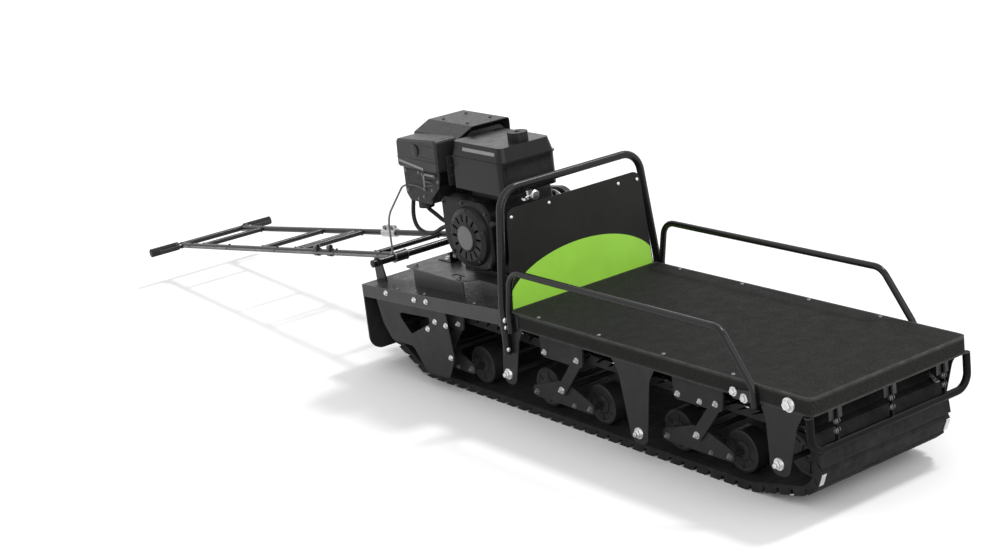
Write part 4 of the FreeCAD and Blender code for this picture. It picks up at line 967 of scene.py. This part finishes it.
def engine_fixings():
    """Flange screws of the fan housing, the casing, the head and the mounting foot."""
    found = []
    fan_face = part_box("fan_housing")[0].y
    for x, z in ((-0.446, 0.612), (-0.222, 0.598), (-0.226, 0.428), (-0.420, 0.448),
                 (-0.345, 0.620)):
        found.append((at(x, fan_face, z), RIGHT, 0.010))
    for step in range(5):
        turn = step * math.tau / 5 + 0.3
        found.append((Vector((CRANK.x + COVER_SCREWS * math.cos(turn), -0.2035,
                              CRANK.z + COVER_SCREWS * math.sin(turn))), RIGHT, 0.007))
    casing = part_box("engine_block")[1].y
    for x, z in ((-0.212, 0.440), (-0.212, 0.520), (-0.218, 0.600), (-0.300, 0.620),
                 (-0.400, 0.430), (-0.306, 0.402)):
        found.append((at(x, casing, z), LEFT, 0.011))
    for x in (-0.424, -0.197):
        for lane in (-0.130, 0.072):
            found.append((at(x, lane, 0.390), UP, 0.014))
    for rise in (-0.047, 0.047):
        for across in (-0.030, 0.030):
            found.append((on_cylinder(0.244, rise, across), CYLINDER_OUT, 0.009))
    fixings("engine_screws", found, finish=black_steel)


def recoil_centre():
    """The bare pale disc in the middle of the recoil cover."""
    shape = bmesh.new()
    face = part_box("recoil_starter")[0].y
    add_turned(shape, Vector((CRANK.x, face + 0.0004, CRANK.z)), RIGHT,
               [(0.0, 0.0016), (0.020, 0.0015), (0.036, 0.0010), (0.0395, 0.0004),
                (0.0398, -0.001), (0.0, -0.001)], 56)
    finished("recoil_centre", shape, centre_film, "chassis", True)


def recoil_handle():
    """The pull handle of the starter, seated against the housing's front flank."""
    shape = bmesh.new()
    place = at(-0.216, -0.176, 0.560)
    out = Vector((0.86, -0.35, 0.36)).normalized()
    add_turned(shape, place, out,
               [(0.0, 0.0), (0.008, 0.0), (0.009, 0.004), (0.006, 0.008), (0.006, 0.012),
                (0.010, 0.016), (0.0105, 0.024), (0.007, 0.027), (0.0, 0.0275)], 20)
    finished("recoil_handle", shape, cap_plastic, "chassis", True)


def tank_trim():
    """A bare pale strip on the tank's sloping side, the cap's top and the fuel tap."""
    strip = bmesh.new()
    tank_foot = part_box("fuel_tank")[0].z
    lean = math.atan2(0.011, 0.044)
    stand = Matrix.Translation(at(-0.2525, -0.1662, 0.7905)) @ Matrix.Rotation(-lean, 4, "X")
    add_block(strip, (-0.0845, -0.0006, -0.0055), (0.0845, 0.0004, 0.0055), 0.0002, stand)
    finished("tank_strip", strip, pale_strip, "chassis")
    cap = bmesh.new()
    cap_low, cap_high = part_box("fuel_cap")
    middle = (cap_low + cap_high) / 2
    middle.z = cap_high.z
    add_turned(cap, middle, UP,
               [(0.0, -0.003), (0.0265, -0.003), (0.0265, -0.0003), (0.0250, 0.0),
                (0.0110, -0.0008), (0.0090, 0.0), (0.0, 0.0)], 40)
    finished("cap_top", cap, cap_plastic, "chassis", True)
    tap = bmesh.new()
    add_turned(tap, at(-0.150, -0.066, tank_foot), -UP,
               [(0.0, -0.001), (0.011, -0.001), (0.011, 0.006), (0.008, 0.008), (0.008, 0.020),
                (0.010, 0.022), (0.010, 0.030), (0.005, 0.033), (0.0, 0.033)], 24)
    add_turned(tap, at(-0.140, -0.066, tank_foot - 0.014), AHEAD,
               [(0.0, 0.0), (0.006, 0.0), (0.006, 0.012), (0.015, 0.013), (0.016, 0.024),
                (0.012, 0.029), (0.0, 0.030)], 24)
    add_turned(tap, at(-0.140, -0.097, tank_foot - 0.022), AHEAD,
               [(0.0, 0.0), (0.007, 0.0), (0.007, 0.014), (0.005, 0.018), (0.0, 0.018)], 6)
    add_rod(tap, at(-0.136, -0.070, tank_foot - 0.018), at(-0.136, -0.095, tank_foot - 0.022),
            0.0035)
    finished("fuel_tap", tap, plated_bolt, "chassis", True)


def air_cleaner_trim():
    """The cover's parting bead, a pale strip that is a painted highlight, and the knob that holds
    it.
    """
    low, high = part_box("air_cleaner")
    strip = bmesh.new()
    # A painted highlight: a thin pale strip along the cover's lower edge.
    start, end = at(-0.648, low.y, 0.7290), at(-0.512, low.y, 0.7125)
    run = end - start
    tilt = math.atan2(run.z, run.x)
    stand = Matrix.Translation((end + start) / 2) @ Matrix.Rotation(-tilt, 4, "Y")
    half = run.length / 2
    add_block(strip, (-half, -0.0012, -0.004), (half, 0.0004, 0.004), 0.0004, stand)
    finished("air_cleaner_painted_highlight", strip, pale_strip, "chassis")
    trim = bmesh.new()
    add_block(trim, (low.x + 0.004, low.y - 0.0015, 0.7385),
              (high.x - 0.006, low.y + 0.002, 0.7415), 0.0012)
    add_turned(trim, at(-0.546, low.y - 0.0005, 0.772), RIGHT,
               [(0.0, 0.0), (0.019, 0.0), (0.020, 0.003), (0.016, 0.005), (0.012, 0.0055),
                (0.0, 0.0052)], 8)
    for height in (0.752, 0.792):
        add_block(trim, (low.x + 0.016, low.y - 0.0008, height - 0.001),
                  (high.x - 0.018, low.y + 0.002, height + 0.001), 0.0006)
    finished("air_cleaner_trim", trim, shroud_plastic, "chassis", True)


def spark_plug():
    """The plug in the left side of the head: hexagon, ceramic and terminal."""
    seat = on_cylinder(0.228, 0.010, 0.056)
    out = Vector((-0.25, 0.93, 0.20)).normalized()
    metal = bmesh.new()
    add_turned(metal, seat, out,
               [(0.0, -0.004), (0.011, -0.004), (0.011, 0.004), (0.0, 0.004)], 24)
    add_turned(metal, seat + out * 0.004, out,
               [(0.0, 0.0), (0.0105, 0.0), (0.0105, 0.009), (0.0, 0.009)], 6)
    add_turned(metal, seat + out * 0.034, out,
               [(0.0, 0.0), (0.003, 0.0), (0.0034, 0.005), (0.0, 0.0065)], 12)
    finished("spark_plug_shell", metal, plated_bolt, "chassis", True)
    body = bmesh.new()
    add_turned(body, seat + out * 0.013, out,
               [(0.0, 0.0), (0.0065, 0.0), (0.0060, 0.006), (0.0052, 0.007), (0.0052, 0.009),
                (0.0060, 0.010), (0.0048, 0.016), (0.0044, 0.021), (0.0, 0.021)], 20)
    finished("spark_plug_ceramic", body, plug_ceramic, "chassis", True)


def carburettor_trim():
    """Governor arm and spring, throttle lever and screws on the carburettor's near side."""
    face = -0.190
    shape = bmesh.new()
    add_block(shape, at(-0.546, face - 0.0022, 0.634), at(-0.536, face - 0.0004, 0.696), 0.0005)
    add_block(shape, at(-0.541, face - 0.0046, 0.686), at(-0.470, face - 0.0026, 0.694), 0.0005)
    for x, out, z, size in ((-0.541, 0.002, 0.640, 0.009), (-0.541, 0.0046, 0.690, 0.007),
                            (-0.476, 0.0046, 0.690, 0.007)):
        add_bolt(shape, at(x, face - out, z), RIGHT, size)
    for x, z in ((-0.552, 0.612), (-0.500, 0.640), (-0.462, 0.672)):
        add_bolt(shape, at(x, face, z), RIGHT, 0.008)
    for x, z in ((-0.648, 0.690), (-0.574, 0.690), (-0.648, 0.622), (-0.590, 0.600)):
        add_bolt(shape, at(x, -0.186, z), RIGHT, 0.008)
    add_bolt(shape, at(-0.606, -0.150, 0.562), -UP, 0.012)
    finished("carburettor_levers", shape, dull_steel, "chassis", True)
    turns, pitch, coil_radius, points = 14, 0.0026, 0.003, 8
    start = at(-0.530, face - 0.006, 0.668)
    coil = []
    for step in range(turns * points):
        turn = step * math.tau / points
        coil.append(start + Vector((step * pitch / points, coil_radius * math.cos(turn),
                                    coil_radius * math.sin(turn))))
    wire("governor_spring", [coil], 0.0006, dull_steel, "chassis")
    governor = [at(-0.541, face - 0.006, 0.652), at(-0.520, face - 0.007, 0.650),
                at(-0.480, face - 0.006, 0.662)]
    throttle = [at(-0.640, -0.189, 0.640), at(-0.600, -0.192, 0.648),
                at(-0.552, face - 0.004, 0.640)]
    wire("governor_links", [governor, throttle], 0.0011, dull_steel, "chassis")


def heat_shield():
    """The thin sheet that stands between the muffler and the tank, screwed to the cylinder."""
    shape = bmesh.new()
    face = (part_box("fuel_tank")[0].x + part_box("muffler")[1].x) / 2
    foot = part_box("cylinder")[1].z - 0.004
    wall = 0.0006
    add_block(shape, (face - wall, -0.174, foot), (face + wall, 0.060, foot + 0.098), 0.0004)
    add_block(shape, (face - 0.010, -0.090, foot + 0.0967),
              (face + 0.0004, 0.0598, foot + 0.0979), 0.0004)
    add_block(shape, (face - wall, -0.080, foot - 0.018), (face + wall, 0.030, foot + 0.004),
              0.0004)
    for height in (0.030, 0.064):
        rib = foot + height
        add_block(shape, (face - 0.0020, -0.164, rib - 0.003), (face + 0.0020, 0.050, rib + 0.003),
                  0.0016)
    finished("heat_shield", shape, muffler_paint, "chassis")


def guard_screws():
    """Dished screws that hold the exhaust guard on its spacers."""
    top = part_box("exhaust_guard")[1].z
    places = [(at(x, lane, top - 0.0004), UP, 0.012)
              for x in (-0.610, -0.475) for lane in (-0.040, 0.052)]
    fixings("guard_screws", places, add_dome, finish=muffler_paint)


def belt_adjuster():
    """The angle on the mounting plate and the long screw that draws the engine forward."""
    shape = bmesh.new()
    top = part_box("engine_mount")[1].z
    lane, height = -0.120, top + 0.020
    add_block(shape, at(-0.592, -0.142, top), at(-0.520, -0.098, top + 0.003), 0.0008)
    add_block(shape, at(-0.5228, -0.1418, top + 0.0003), at(-0.5198, -0.0982, top + 0.036), 0.0008)
    add_rod(shape, at(-0.560, lane, height), at(-0.437, lane, height), 0.004)
    finished("belt_adjuster", shape, black_steel, "chassis", True)
    holes = ((-0.600, -0.228), (-0.350, -0.232), (-0.150, 0.230), (-0.350, 0.230),
             (-0.150, -0.190))
    fixings("mount_plate_screws", [(at(x, y, top), UP, 0.013) for x, y in holes],
            finish=dull_steel)
    fixings("belt_adjuster_nuts",
            [(at(-0.523, lane, height), -AHEAD, 0.014), (at(-0.520, lane, height), AHEAD, 0.014),
             (at(-0.566, lane, top + 0.003), UP, 0.013)])


def chain_case_screws():
    """Flush screws round the chain case's rim: over its two ends and half-way down its sides."""
    low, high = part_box("chain_case")
    radius = 0.042
    upper = Vector((high.x - radius, high.y, high.z - radius))
    lower = Vector((low.x + radius, high.y, low.z + radius))
    down = (lower - upper).normalized()
    side = down.cross(LEFT)
    row = radius - 0.009
    places = []
    for end, away in ((upper, -down), (lower, down)):
        for turn in (-70, 0, 70):
            lean = math.radians(turn)
            out = away * math.cos(lean) + side * math.sin(lean)
            places.append((end + out * row, LEFT, 0.010))
    middle = (upper + lower) / 2
    for lane in (-1, 1):
        places.append((middle + side * lane * row, LEFT, 0.010))
    places.append((lower, LEFT, 0.022))
    places.append((upper, LEFT, 0.022))
    fixings("chain_case_screws", places, add_flush)


def belt_guard_screws():
    """Screws round the rim of the belt guard."""
    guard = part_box("belt_guard")[1].y
    holes = ((-0.300, 0.575), (-0.700, 0.352), (-0.480, 0.560), (-0.480, 0.360), (-0.264, 0.480))
    fixings("belt_guard_screws", [(at(x, guard, z), LEFT, 0.010) for x, z in holes])


def engine_hoses():
    """The fuel hose, looped under the carburettor, and the breather hose: both soft rubber."""
    fan_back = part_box("fan_housing")[0].x
    fuel = [at(-0.652, -0.165, 0.602), at(-0.664, -0.168, 0.555), at(-0.666, -0.169, 0.515),
            at(-0.648, -0.169, 0.485), at(-0.600, -0.168, 0.474), at(-0.548, -0.166, 0.484),
            at(-0.510, -0.165, 0.508), Vector((fan_back + 0.002, -0.165, 0.5235))]
    breather = [at(-0.606, -0.150, 0.566), at(-0.600, -0.150, 0.556), at(-0.560, -0.150, 0.543),
                at(-0.510, -0.150, 0.522), Vector((fan_back + 0.002, -0.150, 0.5195))]
    piece = wire("engine_hoses", [fuel, breather], 0.0072, hose_rubber, "chassis")
    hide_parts("fuel_line")
    clips = bmesh.new()
    for place, direction in ((at(-0.654, -0.1655, 0.592), Vector((-0.2, -0.05, -1))),
                             (Vector((fan_back - 0.008, -0.165, 0.5225)), AHEAD)):
        add_turned(clips, place, direction.normalized(),
                   [(0.0068, -0.003), (0.0080, -0.003), (0.0084, -0.002), (0.0084, 0.002),
                    (0.0080, 0.003), (0.0068, 0.003), (0.0068, -0.003)], 28)
    finished("hose_clips", clips, dull_steel, "chassis", True)


engine_fixings()
engine_hoses()
recoil_centre()
recoil_handle()
tank_trim()
air_cleaner_trim()
spark_plug()
carburettor_trim()
heat_shield()
guard_screws()
belt_adjuster()
chain_case_screws()
belt_guard_screws()


# ---------------------------------------------------------------- colour film on the bulkhead


FILM_HALF = 0.300
FILM_HEIGHT = 0.150
FILM_THICK = 0.0004
PANEL_HALF = 0.2825
PANEL_LEAN = 0.08


def bulkhead_film():
    """The plain green film: an oval cut straight by the platform and by the panel's edges."""
    shape = bmesh.new()
    bmesh.ops.create_circle(shape, cap_ends=True, segments=128, radius=1.0)
    bmesh.ops.scale(shape, vec=(FILM_HALF, FILM_HEIGHT, 1), verts=shape.verts)
    for edge, normal in ((0, (0, -1, 0)), (PANEL_HALF, (1, PANEL_LEAN, 0)),
                         (-PANEL_HALF, (-1, PANEL_LEAN, 0))):
        whole = shape.verts[:] + shape.edges[:] + shape.faces[:]
        bmesh.ops.bisect_plane(shape, geom=whole, plane_co=(edge, 0, 0), plane_no=normal,
                               clear_outer=True)
    stand = standing(LEFT, UP, AHEAD, at(0.0002, 0, DECK + 0.002))
    bmesh.ops.transform(shape, matrix=stand, verts=shape.verts)
    grown = bmesh.ops.extrude_face_region(shape, geom=shape.faces[:])
    moved = [g for g in grown["geom"] if isinstance(g, bmesh.types.BMVert)]
    bmesh.ops.translate(shape, vec=(FILM_THICK, 0, 0), verts=moved)
    finished("bulkhead_film", shape, green_film, "chassis")


bulkhead_film()


# ---------------------------------------------------------------- floor, lights and camera

AMBIENT = 0.80
BACKDROP = 1.0
OVERHEAD = 1.20
FRONT_FILL = 0.90


def stage():
    """A plain white floor and a white surround that lights the object softly from all sides."""
    bpy.ops.mesh.primitive_plane_add(size=60, location=(0, 0, 0))
    floor = bpy.context.active_object
    floor.name = "floor"
    pale = Finish("floor_paint", grey(0.8), 0.9, gloss=0.0)
    ray = pale.node("ShaderNodeLightPath")
    pale.colour(pale.mix(ray.outputs["Is Camera Ray"], grey(0.75), grey(1.0)))
    floor.data.materials.append(pale.material)
    world = bpy.data.worlds.new("studio")
    bpy.context.scene.world = world
    world.use_nodes = True
    tree = world.node_tree
    sky = tree.nodes["Background"]
    ray = tree.nodes.new("ShaderNodeLightPath")
    seen = ray.outputs["Is Camera Ray"]
    for kind in ("Is Glossy Ray", "Is Transmission Ray"):
        either = tree.nodes.new("ShaderNodeMath")
        either.operation = "MAXIMUM"
        tree.links.new(seen, either.inputs[0])
        tree.links.new(ray.outputs[kind], either.inputs[1])
        seen = either.outputs[0]
    level = tree.nodes.new("ShaderNodeMapRange")
    level.inputs["To Min"].default_value = AMBIENT
    level.inputs["To Max"].default_value = BACKDROP
    tree.links.new(seen, level.inputs["Value"])
    sky.inputs["Color"].default_value = (1, 1, 1, 1)
    tree.links.new(level.outputs["Result"], sky.inputs["Strength"])


def soft_light(name, strength, spread, towards):
    """A sun that shines in a direction, its disc some degrees wide."""
    light = bpy.data.lights.new(name, "SUN")
    light.energy = strength
    light.angle = math.radians(spread)
    made = bpy.data.objects.new(name, light)
    made.rotation_euler = towards.to_track_quat("-Z", "Y").to_euler()
    made.location = (0, 0, 5)
    bpy.context.scene.collection.objects.link(made)


def overhead_light():
    """A light from high on the left, a little ahead, that gives the floor's shadow."""
    soft_light("overhead", OVERHEAD, 8, Vector((-0.10, -0.58, -1.0)))


def front_light():
    """A very wide light from ahead, for the faces that look forwards."""
    soft_light("front_fill", FRONT_FILL, 60, Vector((-1.0, 0.10, -0.47)))


# Where the camera stands, its turn from straight ahead, its dip and its roll, and its lens in mm.
CAMERA_PLACE = at(4.621, -3.55, 2.127)
CAMERA_TURN, CAMERA_DIP, CAMERA_ROLL = 2.531, -0.286, -0.119
LENS, SENSOR = 70.13, 36.0


def camera():
    """Stands to the front right of the platform, about 2.1 m up, with a long lens."""
    yaw, pitch, roll = CAMERA_TURN, CAMERA_DIP, CAMERA_ROLL
    ahead = Vector((math.cos(yaw) * math.cos(pitch), math.sin(yaw) * math.cos(pitch),
                    math.sin(pitch)))
    level = Vector((math.sin(yaw), -math.cos(yaw), 0))
    above = level.cross(ahead)
    right = level * math.cos(roll) + above * math.sin(roll)
    up = above * math.cos(roll) - level * math.sin(roll)
    lens = bpy.data.cameras.new("camera")
    lens.sensor_width = SENSOR
    lens.lens = LENS
    made = bpy.data.objects.new("camera", lens)
    made.matrix_world = standing(right, up, -ahead, CAMERA_PLACE)
    bpy.context.scene.collection.objects.link(made)
    bpy.context.scene.camera = made


stage()
overhead_light()
front_light()
camera()
bpy.context.scene.view_settings.view_transform = "Standard"
